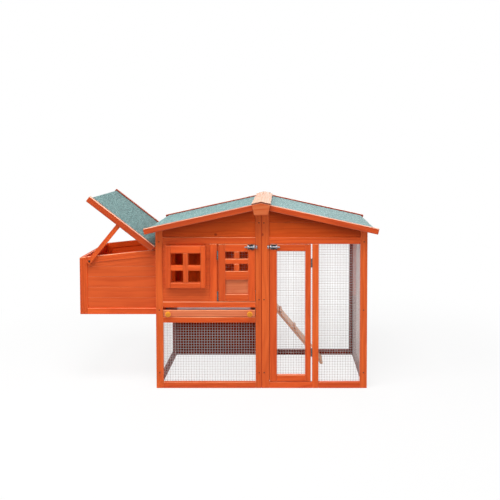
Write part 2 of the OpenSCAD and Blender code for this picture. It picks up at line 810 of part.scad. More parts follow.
module keeper() translate([door_gap + keeper_set, 0, 0]) difference() {
    bar([0, bolt_guide_y, -bolt_guide_h / 2], [keeper_w, 0, bolt_guide_h / 2]);
    translate([-cut, bolt_rod_y, 0]) rotate([0, 90, 0])
        cylinder(r = rod_r + keeper_play, h = keeper_w + 2 * cut);
}

module bolt_keepers() color(zinc) place() {
    bolt_frame(door_x1) keeper();
    bolt_frame(run_door_x0) mirror([1, 0, 0]) keeper();
}

// House door
door_light_z = door_z1 - door_head_h - 2 * small_light_h - small_bar_h;
door_panel_z = door_z0 + door_foot_h;
door_panel_x1 = door_x1 - door_side_w;
door_panel_x0 = door_x0 + door_side_w;

module house_door_leaf() color(stain) place() difference() {
    bar([door_x0, 0, door_z0], [door_x1, door_t, door_z1]);
    for (x = [door_panel_x0, door_panel_x1 - small_light_w], j = [0, 1])
        translate([x, -cut, door_light_z + j * (small_light_h + small_bar_h)])
            cube([small_light_w, door_t + 2 * cut, small_light_h]);
    bar([door_panel_x0, -cut, door_panel_z], [door_panel_x1, door_t + cut, door_panel_z + door_panel_h]);
}

module house_door_panel() color(board_stain) place()
    bar([door_panel_x0, door_t / 2, door_panel_z], [door_panel_x1, door_t, door_panel_z + door_panel_h]);

module house_door_mesh() color(zinc) place()
    translate([door_panel_x0 - mesh_lap, door_t, door_light_z - mesh_lap])
        mesh_panel([door_panel_x1 - door_panel_x0 + 2 * mesh_lap,
                    2 * small_light_h + small_bar_h + 2 * mesh_lap]);

module house_door_fittings() color(zinc) place() {
    for (z = house_hinge_z)
        translate([house_hinge_x, 0, z]) mirror([1, 0, 0]) hinge_door(hinge_gap / 2);
    bolt_frame(door_x1) bolt_base();
}

module house_bolt() color(zinc) place() bolt_frame(door_x1) bolt_rod();

// Run door
module run_door_stiles() color(stain) place() {
    bar([run_door_x0, 0, run_door_z0], [run_door_x0 + latch_stile_w, door_t, door_z1]);
    bar([run_door_x1 - hinge_stile_w, 0, run_door_z0], [run_door_x1, door_t, door_z1]);
}

module run_door_rails() color(stain) place()
    for (z = [run_door_z0, door_z1 - run_door_rail_h])
        bar([run_door_x0 + latch_stile_w, 0, z],
            [run_door_x1 - hinge_stile_w, door_t, z + run_door_rail_h]);

module run_door_mesh() color(zinc) place()
    translate([run_door_x0 + latch_stile_w - mesh_lap, door_t, run_door_z0 + run_door_rail_h - mesh_lap])
        mesh_panel([run_door_w - latch_stile_w - hinge_stile_w + 2 * mesh_lap,
                    door_z1 - run_door_z0 - 2 * run_door_rail_h + 2 * mesh_lap]);

module run_door_fittings() color(zinc) place() {
    for (z = run_hinge_z)
        translate([run_hinge_x, 0, z]) hinge_door(hinge_gap / 2);
    bolt_frame(run_door_x0) mirror([1, 0, 0]) bolt_base();
}

module run_bolt() color(zinc) place() bolt_frame(run_door_x0) mirror([1, 0, 0]) bolt_rod();

// Ramp, drawn level to the right of its hinge line and turned down to the ground
module ramp_frame() translate([ramp_axis_out, ramp_y0, ramp_axis_z]) rotate([0, ramp_slope, 0]) children();

ramp_hinge_y = ramp_w / 4;

module ramp_board() color(pale_wood) place() ramp_frame()
    bar([ramp_inner, 0, -ramp_under], [ramp_l, ramp_w, ramp_t - ramp_under]);

module ramp_cleats() color(pale_wood) place() ramp_frame()
    for (i = [1:cleat_count])
        translate([i * ramp_l / (cleat_count + 1) - cleat_w / 2, cleat_inset, ramp_t - ramp_under])
            cube([cleat_w, ramp_w - 2 * cleat_inset, cleat_h]);

module ramp_hinge_wall() color(zinc) place()
    for (y = [ramp_hinge_y, ramp_w - ramp_hinge_y])
        translate([ramp_axis_out, ramp_y0 + y, ramp_axis_z]) rotate([-90, 0, 0]) mirror([1, 0, 0])
            hinge_fixed(ramp_axis_out);

module ramp_hinge_leaf() color(zinc) place() ramp_frame()
    for (y = [ramp_hinge_y, ramp_w - ramp_hinge_y])
        translate([0, y, 0]) rotate([90, 0, 0]) hinge_flap(ramp_under);

// Screws that hold the posts, near the seam and at the corners
seam_screw_x = 14;
foot_screw_up = 54;
bay_screw_up = 12;
gable_screw_up = 82;
slot_screw_up = 40;
seam_screw_z = [bottom_rail_h + foot_screw_up, bay_z + bay_screw_up, gable_z + gable_screw_up];
corner_screw_z = [bottom_rail_h + foot_screw_up, slot_z + slot_screw_up, top_z + bay_screw_up];

module frame_screws() color(dark_steel) place() front_and_back() {
    for (z = seam_screw_z, x = [-seam_screw_x, seam_screw_x])
        translate([x, 0, z]) rotate([90, 0, 0]) cylinder(r = screw_r, h = screw_h);
    for (z = corner_screw_z, x = [corner_post_w / 2 - house_w, run_w - corner_post_w / 2])
        translate([x, 0, z]) rotate([90, 0, 0]) cylinder(r = screw_r, h = screw_h);
}

house_front_posts();
house_front_rails();
house_mid_stile();
house_gable_boards();
window_panel();
window_frame();
under_house_mesh();
house_back_posts();
house_back_boards();
back_rails();
side_stiles();
side_rails();
house_side_boards();
house_side_mesh();
partition_rail();
partition_boards();
tray_runners();
run_front_posts();
run_front_rails();
run_gable_boards();
run_front_mesh();
run_side_mesh();
run_back_posts();
run_back_mesh();
roof_deck();
roof_felt();
barge_boards();
ridge_cap();
ridge_end_blocks();
nest_posts();
nest_rails();
nest_boards();
nest_floor();
frame_screws();
lid_hinge_wall();
door_hinge_posts();
bolt_keepers();
prop_pin();
ramp_hinge_wall();
lid_deck();
lid_felt();
lid_rails();
lid_hinge_leaf();
lid_prop();
house_door_leaf();
house_door_panel();
house_door_mesh();
house_door_fittings();
house_bolt();
run_door_stiles();
run_door_rails();
run_door_mesh();
run_door_fittings();
run_bolt();
tray_pan();
tray_front();
tray_knobs();
ramp_board();
ramp_cleats();
ramp_hinge_leaf();
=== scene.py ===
"""Looks of a timber coop: a raised house, a wire run, a felt roof and a nest box with a lift-up lid."""

import json
import logging
import math
import random
from collections.abc import Callable, Sequence
from dataclasses import dataclass
from enum import Enum
from functools import cached_property
from typing import ClassVar

import bmesh
import bpy
from mathutils import Matrix, Vector, noise


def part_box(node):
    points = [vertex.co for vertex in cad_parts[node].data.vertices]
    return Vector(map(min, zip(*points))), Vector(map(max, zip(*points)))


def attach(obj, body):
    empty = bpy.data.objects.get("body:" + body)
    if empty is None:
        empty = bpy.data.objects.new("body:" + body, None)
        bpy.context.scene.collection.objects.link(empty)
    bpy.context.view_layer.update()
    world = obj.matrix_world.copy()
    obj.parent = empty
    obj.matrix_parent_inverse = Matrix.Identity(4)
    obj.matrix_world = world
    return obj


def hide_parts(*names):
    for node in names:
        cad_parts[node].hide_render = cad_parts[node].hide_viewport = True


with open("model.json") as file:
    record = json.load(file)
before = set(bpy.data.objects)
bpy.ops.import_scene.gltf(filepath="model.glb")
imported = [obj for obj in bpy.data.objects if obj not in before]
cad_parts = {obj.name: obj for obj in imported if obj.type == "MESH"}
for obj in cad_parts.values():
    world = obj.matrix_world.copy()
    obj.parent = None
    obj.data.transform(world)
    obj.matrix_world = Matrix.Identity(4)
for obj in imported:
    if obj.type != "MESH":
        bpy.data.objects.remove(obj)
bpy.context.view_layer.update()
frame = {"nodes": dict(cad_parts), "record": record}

LOG = logging.getLogger("coop")
Pair = tuple[float, float]
Triple = tuple[float, float, float]
Outline = Sequence[Pair]
VectorPair = tuple[Vector, Vector]
Socket = bpy.types.NodeSocket
Solid = bmesh.types.BMesh
Group = list[bmesh.types.BMVert]

# Limits for reading the solids
MERGE = 1e-5
PLACES = 5
FLAT_ANGLE = math.radians(0.5)
SHARP_ANGLE = math.radians(25)
SMOOTH_ANGLE = math.radians(35)
TOP_COSINE = 0.3
BROAD_COSINE = 0.5
END_COSINE = 0.9

# Marks that the stains read from the faces: wear on eased edges with a painted highlight on upward ones,
# painted shade on faces that look inwards, and painted shadow beside seams
TOP_WEAR_AND_HIGHLIGHT = 1.0
SIDE_WEAR = 0.08
BOUNCE_MARK = 0.5
DEEP_SHADE_MARK = 1.0
SEAM_SHADOW_MARK = 0.8

# Where a board may lie in the trunk that it was sawn from
TRUNK_LENGTH = 40
PITH_ASIDE = 0.06
PITH_DEPTH = (0.03, 0.09)

# Eased edges, and the painted dark reflection on the hinges
EASE_STEPS = 2
ROUND_PROFILE = 0.5
BOARD_EASE = 0.0012
TRIM_EASE = 0.0035
METAL_EASE = 0.0004
HINGE_DARK_REFLECTION = 0.4

# The ridge line, a place in the space below it towards which faces get painted shade, and the way to the
# front
RIDGE_X = sum(corner.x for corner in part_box("ridge_cap")) / 2
BELOW_RIDGE = (0.19, 0.0, 0.5)
FORWARD = Vector((0.0, -1.0, 0.0))


class Axis(Enum):
    """A direction of the part's own frame."""

    X = (1.0, 0.0, 0.0)
    Y = (0.0, 1.0, 0.0)
    Z = (0.0, 0.0, 1.0)

    @property
    def vector(self) -> Vector:
        """The direction as a vector."""
        return Vector(self.value)


class Shade(Enum):
    """Stains, metals and painted light and shade, as red, green and blue from 0 to 255."""

    ORANGE = (215, 87, 31)
    ORANGE_DEEP = (186, 61, 14)
    APRICOT = (219, 97, 37)
    APRICOT_DEEP = (190, 69, 19)
    # Pale edge colour: wear, and a painted highlight on upward edges.
    ORANGE_WORN_AND_LIT = (255, 178, 132)
    SIENNA = (192, 74, 28)
    SIENNA_DEEP = (162, 52, 14)
    CREAM = (255, 214, 184)
    AMBER = (203, 84, 33)
    AMBER_DEEP = (172, 58, 16)
    TAWNY = (206, 108, 60)
    TAWNY_DEEP = (176, 78, 36)
    SALMON = (208, 116, 76)
    SALMON_DEEP = (186, 88, 50)
    # Pale ridge cap colours: a painted sheen of the top light on the cap.
    PEACH = (204, 158, 130)
    PEACH_DEEP = (190, 132, 100)
    PEACH_PALE = (232, 200, 178)
    # Pale ramp wood, brightened further as painted light where the roof shades it.
    HONEY = (255, 203, 164)
    HONEY_DEEP = (240, 168, 126)
    YELLOW = (240, 160, 44)
    YELLOW_DEEP = (214, 122, 26)
    # Colour of knots, and also of the painted shadow under the eaves.
    KNOT_AND_EAVE_SHADOW = (120, 34, 10)
    # Painted red bounce light on faces that look into the house, the nest and the run.
    BOUNCE_RED = (255, 90, 18)
    # Painted deep shade on inward faces low down and beside seams; also the darker ends of boards.
    UMBER = (96, 22, 12)
    # The roof's felt colours, lighter than the lid's as painted light.
    FELT = (106, 153, 151)
    FELT_PALE = (180, 211, 208)
    FELT_DEEP = (58, 99, 102)
    # A darker copy of the felt colours for the lid, as painted shade.
    SHADED_LID_FELT = (74, 121, 119)
    SHADED_LID_FELT_PALE = (144, 182, 178)
    SHADED_LID_FELT_DEEP = (34, 72, 76)
    WIRE = (204, 195, 193)
    ZINC = (132, 132, 136)
    TRAY = (216, 217, 224)
    STEEL = (44, 27, 20)
    # Painted dark reflection on the bolt plates and hinges.
    DARK_REFLECTION_GREY = (46, 42, 42)
    WHITE = (255, 255, 255)

    @property
    def linear(self) -> tuple[float, float, float, float]:
        """The colour in linear light, with full alpha."""
        red, green, blue = (self._channel(value / 255) for value in self.value)
        return red, green, blue, 1.0

    @staticmethod
    def _channel(value: float) -> float:
        """One display channel turned into linear light."""
        return value / 12.92 if value <= 0.04045 else ((value + 0.055) / 1.055) ** 2.4


@dataclass
class TreeMaker:
    """Adds nodes to one tree, with each input set by a value or by a link."""

    NOISE_ROUGHNESS: ClassVar[float] = 0.6

    tree: bpy.types.NodeTree

    def add(self, kind: str, inputs: dict | None = None, **settings: object) -> bpy.types.Node:
        """Add a node.

        Args:
            kind: Type of the node.
            inputs: Values, or output sockets to link, by the input's name or place.
            settings: Properties of the node itself.

        Returns:
            The new node.
        """
        node = self.tree.nodes.new(kind)
        for key, value in settings.items():
            setattr(node, key, value)
        for key, value in (inputs or {}).items():
            if isinstance(value, bpy.types.NodeSocket):
                self.tree.links.new(value, node.inputs[key])
            else:
                node.inputs[key].default_value = value
        return node

    def math(self, operation: str, *values: object) -> Socket:
        """Output of a math node with the given values."""
        return self.add("ShaderNodeMath", dict(enumerate(values)), operation=operation).outputs[0]

    def attribute(self, name: str, output: str = "Fac") -> Socket:
        """Value of one of the mesh's own attributes."""
        return self.add("ShaderNodeAttribute", attribute_name=name).outputs[output]

    def place(self) -> Socket:
        """Place in the object's own coordinates."""
        return self.add("ShaderNodeTexCoord").outputs["Object"]

    def blend(self, share: object, first: object, second: object) -> Socket:
        """Colour between two colours, at the given share of the second."""
        return self.add("ShaderNodeMix", {0: share, 6: first, 7: second}, data_type="RGBA").outputs[2]

    def ramp(self, value: object, low: float, high: float) -> Socket:
        """Smooth step of a value from 0 at low to 1 at high."""
        inputs = {0: value, 1: low, 2: high, 3: 0.0, 4: 1.0}
        return self.add("ShaderNodeMapRange", inputs, interpolation_type="SMOOTHSTEP").outputs[0]

    def layer(self, colour: object, value: Socket, span: Pair, share: float, shade: Shade) -> Socket:
        """Lay a shade over a colour where a value is high.

        Args:
            colour: The colour below.
            value: What decides where the shade lies.
            span: Values at which the shade starts and is full.
            share: How much of the shade a full place gets.
            shade: The shade on top.

        Returns:
            The covered colour.
        """
        return self.blend(self.math("MULTIPLY", self.ramp(value, *span), share), colour, shade.linear)

    def stretched(self, vector: Socket, scale: Triple) -> Socket:
        """Coordinates scaled along each of their directions."""
        inputs = {0: vector, 1: scale}
        return self.add("ShaderNodeVectorMath", inputs, operation="MULTIPLY").outputs[0]

    def speckle(self, vector: Socket, scale: float = 1.0, detail: float = 3.0) -> Socket:
        """Noise value at the coordinates."""
        inputs = {"Vector": vector, "Scale": scale, "Detail": detail, "Roughness": self.NOISE_ROUGHNESS}
        return self.add("ShaderNodeTexNoise", inputs).outputs[0]

    def bump(self, height: Socket, strength: float, distance: float) -> Socket:
        """Normal of a surface with the given heights."""
        inputs = {"Strength": strength, "Distance": distance, "Height": height}
        return self.add("ShaderNodeBump", inputs).outputs[0]

    def spread(self, value: Socket, width: float, middle: float) -> Socket:
        """Number about a middle that follows a value from 0 to 1 over the given width."""
        return self.math("MULTIPLY_ADD", value, width, middle - width / 2)


@dataclass(frozen=True)
class Finish:
    """A surface finish and the record's material slot that it belongs to."""

    name: str
    slot: str

    def material(self) -> bpy.types.Material:
        """Find the finish's material, or make it the first time it is asked for.

        Returns:
            The material.
        """
        found = bpy.data.materials.get(self.name)
        if found is None:
            found = bpy.data.materials.new(self.name)
            found.use_nodes = True
            maker = TreeMaker(found.node_tree)
            self.paint(maker, found.node_tree.nodes["Principled BSDF"])
        return found

    def paint(self, maker: TreeMaker, shader: bpy.types.Node) -> None:
        """Add the finish's nodes.

        Args:
            maker: Maker of the material's nodes.
            shader: The material's shader.
        """
        raise NotImplementedError

    @staticmethod
    def connect(maker: TreeMaker, shader: bpy.types.Node, colour: Socket, gloss: Socket,
                normal: Socket) -> None:
        """Link the finished colour, roughness and normal to the shader.

        Args:
            maker: Maker of the material's nodes.
            shader: The material's shader.
            colour: The finished colour.
            gloss: The finished roughness.
            normal: The finished normal.
        """
        for name, socket in (("Base Color", colour), ("Roughness", gloss), ("Normal", normal)):
            maker.tree.links.new(socket, shader.inputs[name])


@dataclass(frozen=True)
class Wood(Finish):
    """Softwood with rings, streaks, knots, paler eased edges with a painted highlight, and painted shade,
    along each board's own grain.
    """

    STREAK_SCALE: ClassVar[Triple] = (2.6, 120.0, 120.0)
    BROAD_SCALE: ClassVar[Triple] = (2.2, 13.0, 13.0)
    PORE_SCALE: ClassVar[Triple] = (28.0, 1500.0, 1500.0)
    KNOT_SCALE: ClassVar[Triple] = (7.0, 8.5, 8.5)
    BROAD_DETAIL: ClassVar[float] = 2.0
    PORE_DETAIL: ClassVar[float] = 1.0
    STREAK_SHARE: ClassVar[float] = 0.6
    RING_SHARE: ClassVar[float] = 0.28
    PORE_SHARE: ClassVar[float] = 0.4
    RING_WANDER: ClassVar[float] = 0.05
    FIGURE_SPAN: ClassVar[Pair] = (0.32, 0.66)
    STAIN_SPAN: ClassVar[Pair] = (0.42, 0.78)
    STAIN_SHARE: ClassVar[float] = 0.45
    KNOT_SPAN: ClassVar[Pair] = (0.035, 0.085)
    KNOT_SHARE: ClassVar[float] = 0.7
    # Shares of the painted bounce light and the painted deep shade on inward faces.
    BOUNCE_SHARE: ClassVar[float] = 0.9
    DEEP_SHADE_SHARE: ClassVar[float] = 0.85
    TONE_WIDTH: ClassVar[float] = 0.2
    RUB_AND_HIGHLIGHT_SPAN: ClassVar[Pair] = (0.3, 0.6)
    GLOSS_WIDTH: ClassVar[float] = 0.22
    GROOVE_STRENGTH: ClassVar[float] = 0.35
    GROOVE_DEPTH: ClassVar[float] = 0.0006

    light: Shade = Shade.ORANGE
    deep: Shade = Shade.ORANGE_DEEP
    # Colour and strength of the paler eased edges: wear, with a painted highlight on upward ones.
    worn_and_lit: Shade = Shade.ORANGE_WORN_AND_LIT
    roughness: float = 0.5
    ring_w: float = 0.0075
    wear_and_highlight: float = 0.9
    knots: float = 0.80
    contrast: float = 0.6
    specular: float = 0.22
    end_dark: float = 0.3
    # Painted shadow of the eaves: its strength, the fall of the roof line that it follows, and the levels
    # over which it grows.
    eave_shadow: float = 0.0
    roof_fall: float = 0.22
    eave_shadow_z: Pair = (0.955, 1.05)

    def paint(self, maker: TreeMaker, shader: bpy.types.Node) -> None:
        """Add grain, stain, knots, worn edges with a painted highlight, and painted shade to the shader.

        Args:
            maker: Maker of the material's nodes.
            shader: The material's shader.
        """
        grain = maker.attribute("grain", "Vector")
        streak = maker.speckle(maker.stretched(grain, self.STREAK_SCALE))
        broad = maker.speckle(maker.stretched(grain, self.BROAD_SCALE), detail=self.BROAD_DETAIL)
        pores = maker.speckle(maker.stretched(grain, self.PORE_SCALE), detail=self.PORE_DETAIL)
        streaks = maker.math("MULTIPLY", streak, self.STREAK_SHARE)
        rings = maker.math("MULTIPLY", self._rings(maker, grain, broad), self.RING_SHARE)
        figure = maker.math("ADD", streaks, rings)
        colour = maker.layer(self.light.linear, figure, self.FIGURE_SPAN, self.contrast, self.deep)
        colour = maker.layer(colour, broad, self.STAIN_SPAN, self.STAIN_SHARE, self.deep)
        # Painted shadow under the eaves, darker towards the roof.
        if self.eave_shadow:
            colour = maker.blend(self._eave_shadow_share(maker), colour, Shade.KNOT_AND_EAVE_SHADOW.linear)
        knot = maker.math("MULTIPLY", self._knot(maker, grain), self.KNOT_SHARE)
        colour = self._shaded_and_toned(maker, maker.blend(knot, colour, Shade.KNOT_AND_EAVE_SHADOW.linear))
        # Paler eased edges: wear, with a painted highlight on the upward ones.
        worn_and_lit = maker.math("MULTIPLY", maker.ramp(streak, *self.RUB_AND_HIGHLIGHT_SPAN), self.wear_and_highlight)
        rubbed_and_lit = maker.math("MULTIPLY", maker.attribute("edge"), worn_and_lit)
        colour = maker.blend(rubbed_and_lit, colour, self.worn_and_lit.linear)
        height = maker.math("ADD", streaks, maker.math("MULTIPLY", pores, self.PORE_SHARE))
        gloss = maker.spread(streak, self.GLOSS_WIDTH, self.roughness)
        normal = maker.bump(height, self.GROOVE_STRENGTH, self.GROOVE_DEPTH)
        self.connect(maker, shader, colour, gloss, normal)
        shader.inputs["Specular IOR Level"].default_value = self.specular

    def _shaded_and_toned(self, maker: TreeMaker, colour: Socket) -> Socket:
        """Colour the faces that look inwards with painted bounce light and painted shade, darken the ends,
        and give each board its own tone.

        Args:
            maker: Maker of the material's nodes.
            colour: Colour of the fresh stain.

        Returns:
            The colour with its painted shade, darker ends and tone.
        """
        inside = maker.attribute("inside")
        # Painted shade on faces that look inwards: red bounce light, then deep shade low down.
        colour = maker.layer(colour, inside, (0.0, BOUNCE_MARK), self.BOUNCE_SHARE, Shade.BOUNCE_RED)
        colour = maker.layer(colour, inside, (BOUNCE_MARK, DEEP_SHADE_MARK), self.DEEP_SHADE_SHARE, Shade.UMBER)
        end = maker.math("MULTIPLY", maker.attribute("end"), self.end_dark)
        colour = maker.blend(end, colour, Shade.UMBER.linear)
        value = maker.spread(maker.attribute("tone"), self.TONE_WIDTH, 1.0)
        return maker.add("ShaderNodeHueSaturation", {"Value": value, "Color": colour}).outputs[0]

    def _eave_shadow_share(self, maker: TreeMaker) -> Socket:
        """Work out the painted shadow that the eaves cast, which grows up to the underside of the roof.

        Args:
            maker: Maker of the material's nodes.

        Returns:
            The share of painted shadow.
        """
        split = maker.add("ShaderNodeSeparateXYZ", {0: maker.place()}).outputs
        aside = maker.math("ABSOLUTE", maker.math("SUBTRACT", split["X"], RIDGE_X))
        level = maker.math("MULTIPLY_ADD", aside, self.roof_fall, split["Z"])
        return maker.math("MULTIPLY", maker.ramp(level, *self.eave_shadow_z), self.eave_shadow)

    def _rings(self, maker: TreeMaker, grain: Socket, broad: Socket) -> Socket:
        """Draw growth rings about a pith line that wanders along the board.

        Args:
            maker: Maker of the material's nodes.
            grain: Coordinates along the grain.
            broad: Slow noise that the pith line follows.

        Returns:
            A value that goes up and down from ring to ring.
        """
        across = maker.stretched(grain, (0.0, 1.0, 1.0))
        radius = maker.add("ShaderNodeVectorMath", {0: across}, operation="LENGTH").outputs["Value"]
        wandering = maker.math("MULTIPLY_ADD", broad, self.RING_WANDER, radius)
        return maker.math("PINGPONG", maker.math("DIVIDE", wandering, self.ring_w), 1.0)

    def _knot(self, maker: TreeMaker, grain: Socket) -> Socket:
        """Draw round dark knots in a few of the cells of a cell pattern.

        Args:
            maker: Maker of the material's nodes.
            grain: Coordinates along the grain.

        Returns:
            One in a knot, zero away from it.
        """
        inputs = {"Vector": maker.stretched(grain, self.KNOT_SCALE), "Scale": 1.0}
        cells = maker.add("ShaderNodeTexVoronoi", inputs)
        pick = maker.add("ShaderNodeSeparateColor", {0: cells.outputs["Color"]}).outputs[0]
        chosen = maker.math("GREATER_THAN", pick, self.knots)
        core = maker.math("SUBTRACT", 1.0, maker.ramp(cells.outputs["Distance"], *self.KNOT_SPAN))
        return maker.math("MULTIPLY", chosen, core)


@dataclass(frozen=True)
class MineralFelt(Finish):
    """Roofing felt with a coat of coloured mineral granules."""

    CLUMP_SCALE: ClassVar[float] = 105.0
    CLUMP_DETAIL: ClassVar[float] = 2.0
    PATCH_SCALE: ClassVar[float] = 9.0
    DARK_GRAINS: ClassVar[Pair] = (0.15, 0.5)
    PALE_GRAINS: ClassVar[Pair] = (0.72, 0.95)
    PALE_CLUMPS: ClassVar[Pair] = (0.54, 0.64)
    DARK_CLUMPS: ClassVar[Pair] = (0.46, 0.36)
    WORN_PATCHES: ClassVar[Pair] = (0.5, 0.8)
    PALE_SHARE: ClassVar[float] = 0.6
    DARK_SHARE: ClassVar[float] = 0.7
    WORN_SHARE: ClassVar[float] = 0.3
    ROUGHNESS: ClassVar[float] = 0.9
    GLOSS_WIDTH: ClassVar[float] = 0.12
    GRAIN_STRENGTH: ClassVar[float] = 0.5
    GRAIN_DEPTH: ClassVar[float] = 0.0012
    SHINE: ClassVar[dict[str, float]] = {"Specular IOR Level": 0.2, "Sheen Weight": 0.2,
                                         "Sheen Roughness": 0.5}

    base: Shade = Shade.FELT
    pale: Shade = Shade.FELT_PALE
    deep: Shade = Shade.FELT_DEEP
    granule: float = 0.0032

    def paint(self, maker: TreeMaker, shader: bpy.types.Node) -> None:
        """Add granules and clumps of granules to the shader.

        Args:
            maker: Maker of the material's nodes.
            shader: The material's shader.
        """
        place = maker.place()
        cells = maker.add("ShaderNodeTexVoronoi", {"Vector": place, "Scale": 1 / self.granule})
        pick = maker.add("ShaderNodeSeparateColor", {0: cells.outputs["Color"]}).outputs[0]
        clump = maker.speckle(place, self.CLUMP_SCALE, self.CLUMP_DETAIL)
        patch = maker.speckle(place, self.PATCH_SCALE)
        colour = maker.blend(maker.ramp(pick, *self.DARK_GRAINS), self.deep.linear, self.base.linear)
        colour = maker.layer(colour, pick, self.PALE_GRAINS, 1.0, self.pale)
        colour = maker.layer(colour, clump, self.PALE_CLUMPS, self.PALE_SHARE, self.pale)
        colour = maker.layer(colour, clump, self.DARK_CLUMPS, self.DARK_SHARE, self.deep)
        colour = maker.layer(colour, patch, self.WORN_PATCHES, self.WORN_SHARE, self.deep)
        height = maker.math("MULTIPLY", cells.outputs["Distance"], -1.0)
        gloss = maker.spread(pick, self.GLOSS_WIDTH, self.ROUGHNESS)
        normal = maker.bump(height, self.GRAIN_STRENGTH, self.GRAIN_DEPTH)
        self.connect(maker, shader, colour, gloss, normal)
        for name, value in self.SHINE.items():
            shader.inputs[name].default_value = value


@dataclass(frozen=True)
class Metal(Finish):
    """Bare or plated metal with fine mottling in its colour and its gloss, and a painted dark reflection
    where it is marked.
    """

    FINER: ClassVar[float] = 8.0
    FINE_DETAIL: ClassVar[float] = 1.0
    MOTTLE_SPAN: ClassVar[Pair] = (0.35, 0.75)
    MOTTLE_DARK: ClassVar[float] = 0.6
    DARK_REFLECTION_SHARE: ClassVar[float] = 0.9
    GLOSS_WIDTH: ClassVar[float] = 0.24
    GRAIN_STRENGTH: ClassVar[float] = 0.15
    GRAIN_DEPTH: ClassVar[float] = 0.0003

    shade: Shade = Shade.ZINC
    metallic: float = 1.0
    roughness: float = 0.3
    mottle_scale: float = 180.0
    mottle: float = 0.25

    def paint(self, maker: TreeMaker, shader: bpy.types.Node) -> None:
        """Add mottling to the shader's colour, gloss and surface, and the painted dark reflection that the
        piece marks.

        Args:
            maker: Maker of the material's nodes.
            shader: The material's shader.
        """
        place = maker.place()
        mottle = maker.speckle(place, self.mottle_scale)
        fine = maker.speckle(place, self.FINER * self.mottle_scale, self.FINE_DETAIL)
        darker = tuple(channel * self.MOTTLE_DARK for channel in self.shade.linear[:3]) + (1.0,)
        share = maker.math("MULTIPLY", maker.ramp(mottle, *self.MOTTLE_SPAN), self.mottle)
        colour = maker.blend(share, self.shade.linear, darker)
        # Painted dark reflection, as much as the piece marks.
        dark_reflection = maker.math("MULTIPLY", maker.attribute("dark_reflection"), self.DARK_REFLECTION_SHARE)
        colour = maker.blend(dark_reflection, colour, Shade.DARK_REFLECTION_GREY.linear)
        gloss = maker.spread(mottle, self.GLOSS_WIDTH, self.roughness)
        normal = maker.bump(fine, self.GRAIN_STRENGTH, self.GRAIN_DEPTH)
        self.connect(maker, shader, colour, gloss, normal)
        shader.inputs["Metallic"].default_value = self.metallic


FRAME_STAIN = Wood("orange_frame_stain", "stained_frame")
RAIL_STAIN = Wood("orange_run_rail_stain", "stained_frame", wear_and_highlight=0.3)
POST_STAIN = Wood("apricot_post_stain", "stained_frame", Shade.APRICOT, Shade.APRICOT_DEEP)
BOARD_STAIN = Wood("amber_board_stain", "stained_boards", Shade.AMBER, Shade.AMBER_DEEP, roughness=0.56,
                   wear_and_highlight=0.3, knots=0.72, contrast=0.35)
# The gable boards carry a painted shadow of the eaves, darker towards the roof.
SHADOWED_GABLE_STAIN = Wood("gable_stain_painted_eave_shadow", "stained_boards", roughness=0.6, wear_and_highlight=0.3, knots=0.72,
                   contrast=0.45, specular=0.08, eave_shadow=0.8)
BLOCK_STAIN = Wood("tawny_block_stain", "stained_frame", Shade.TAWNY, Shade.SIENNA, wear_and_highlight=0.3, contrast=0.9)
BARGE_STAIN = Wood("sienna_barge_stain", "stained_frame", Shade.SIENNA, Shade.SIENNA_DEEP, Shade.CREAM,
                   end_dark=0.8)
BACK_STAIN = Wood("tawny_back_stain", "stained_boards", Shade.TAWNY, Shade.TAWNY_DEEP, roughness=0.7,
                  specular=0.06)
TRAY_STAIN = Wood("salmon_tray_stain", "stained_frame", Shade.SALMON, Shade.SALMON_DEEP)
# The ridge cap is painted pale, as a painted sheen of the top light.
SHEEN_PAINTED_CAP = Wood("ridge_wood_painted_sheen", "bare_wood", Shade.PEACH, Shade.PEACH_DEEP, Shade.PEACH_PALE,
                roughness=0.6, wear_and_highlight=0.3, knots=0.93, end_dark=0.85)
# The ramp is pale wood with painted light added to its colour.
LIGHT_PAINTED_RAMP = Wood("pale_ramp_wood_painted_light", "bare_wood", Shade.HONEY, Shade.HONEY_DEEP, Shade.PEACH, roughness=0.62,
                 wear_and_highlight=0.4)
KNOB_WOOD = Wood("varnished_knob_wood", "knob_wood", Shade.YELLOW, Shade.YELLOW_DEEP, Shade.YELLOW,
                 roughness=0.32, ring_w=0.003, wear_and_highlight=0.0, knots=2.0)
# The roof's felt is a lighter copy and the lid's a darker copy of one felt: painted light and painted shade.
FELT = MineralFelt("green_mineral_felt", "roof_felt")
SHADED_LID_FELT = MineralFelt("shaded_lid_mineral_felt", "roof_felt", Shade.SHADED_LID_FELT, Shade.SHADED_LID_FELT_PALE,
                       Shade.SHADED_LID_FELT_DEEP)
WIRE = Metal("galvanised_mesh_wire", "galvanised_wire", Shade.WIRE, metallic=0.12, roughness=0.45)
ZINC = Metal("zinc_plated_fittings", "zinc_fittings", roughness=0.26, mottle_scale=140.0, mottle=0.35)
TRAY_SHEET = Metal("galvanised_tray_sheet", "tray_metal", Shade.TRAY, metallic=0.2, roughness=0.45,
                   mottle_scale=60.0, mottle=0.3)
SCREW_STEEL = Metal("dark_screw_steel", "dark_screws", Shade.STEEL, metallic=0.4, roughness=0.5)


def new_object(name: str, mesh: bpy.types.Mesh) -> bpy.types.Object:
    """Add an object with the given mesh to the scene.

    Args:
        name: Name of the object and of its mesh.
        mesh: The mesh, already in its place.

    Returns:
        The new object.
    """
    mesh.name = name
    made = bpy.data.objects.new(name, mesh)
    bpy.context.scene.collection.objects.link(made)
    return made


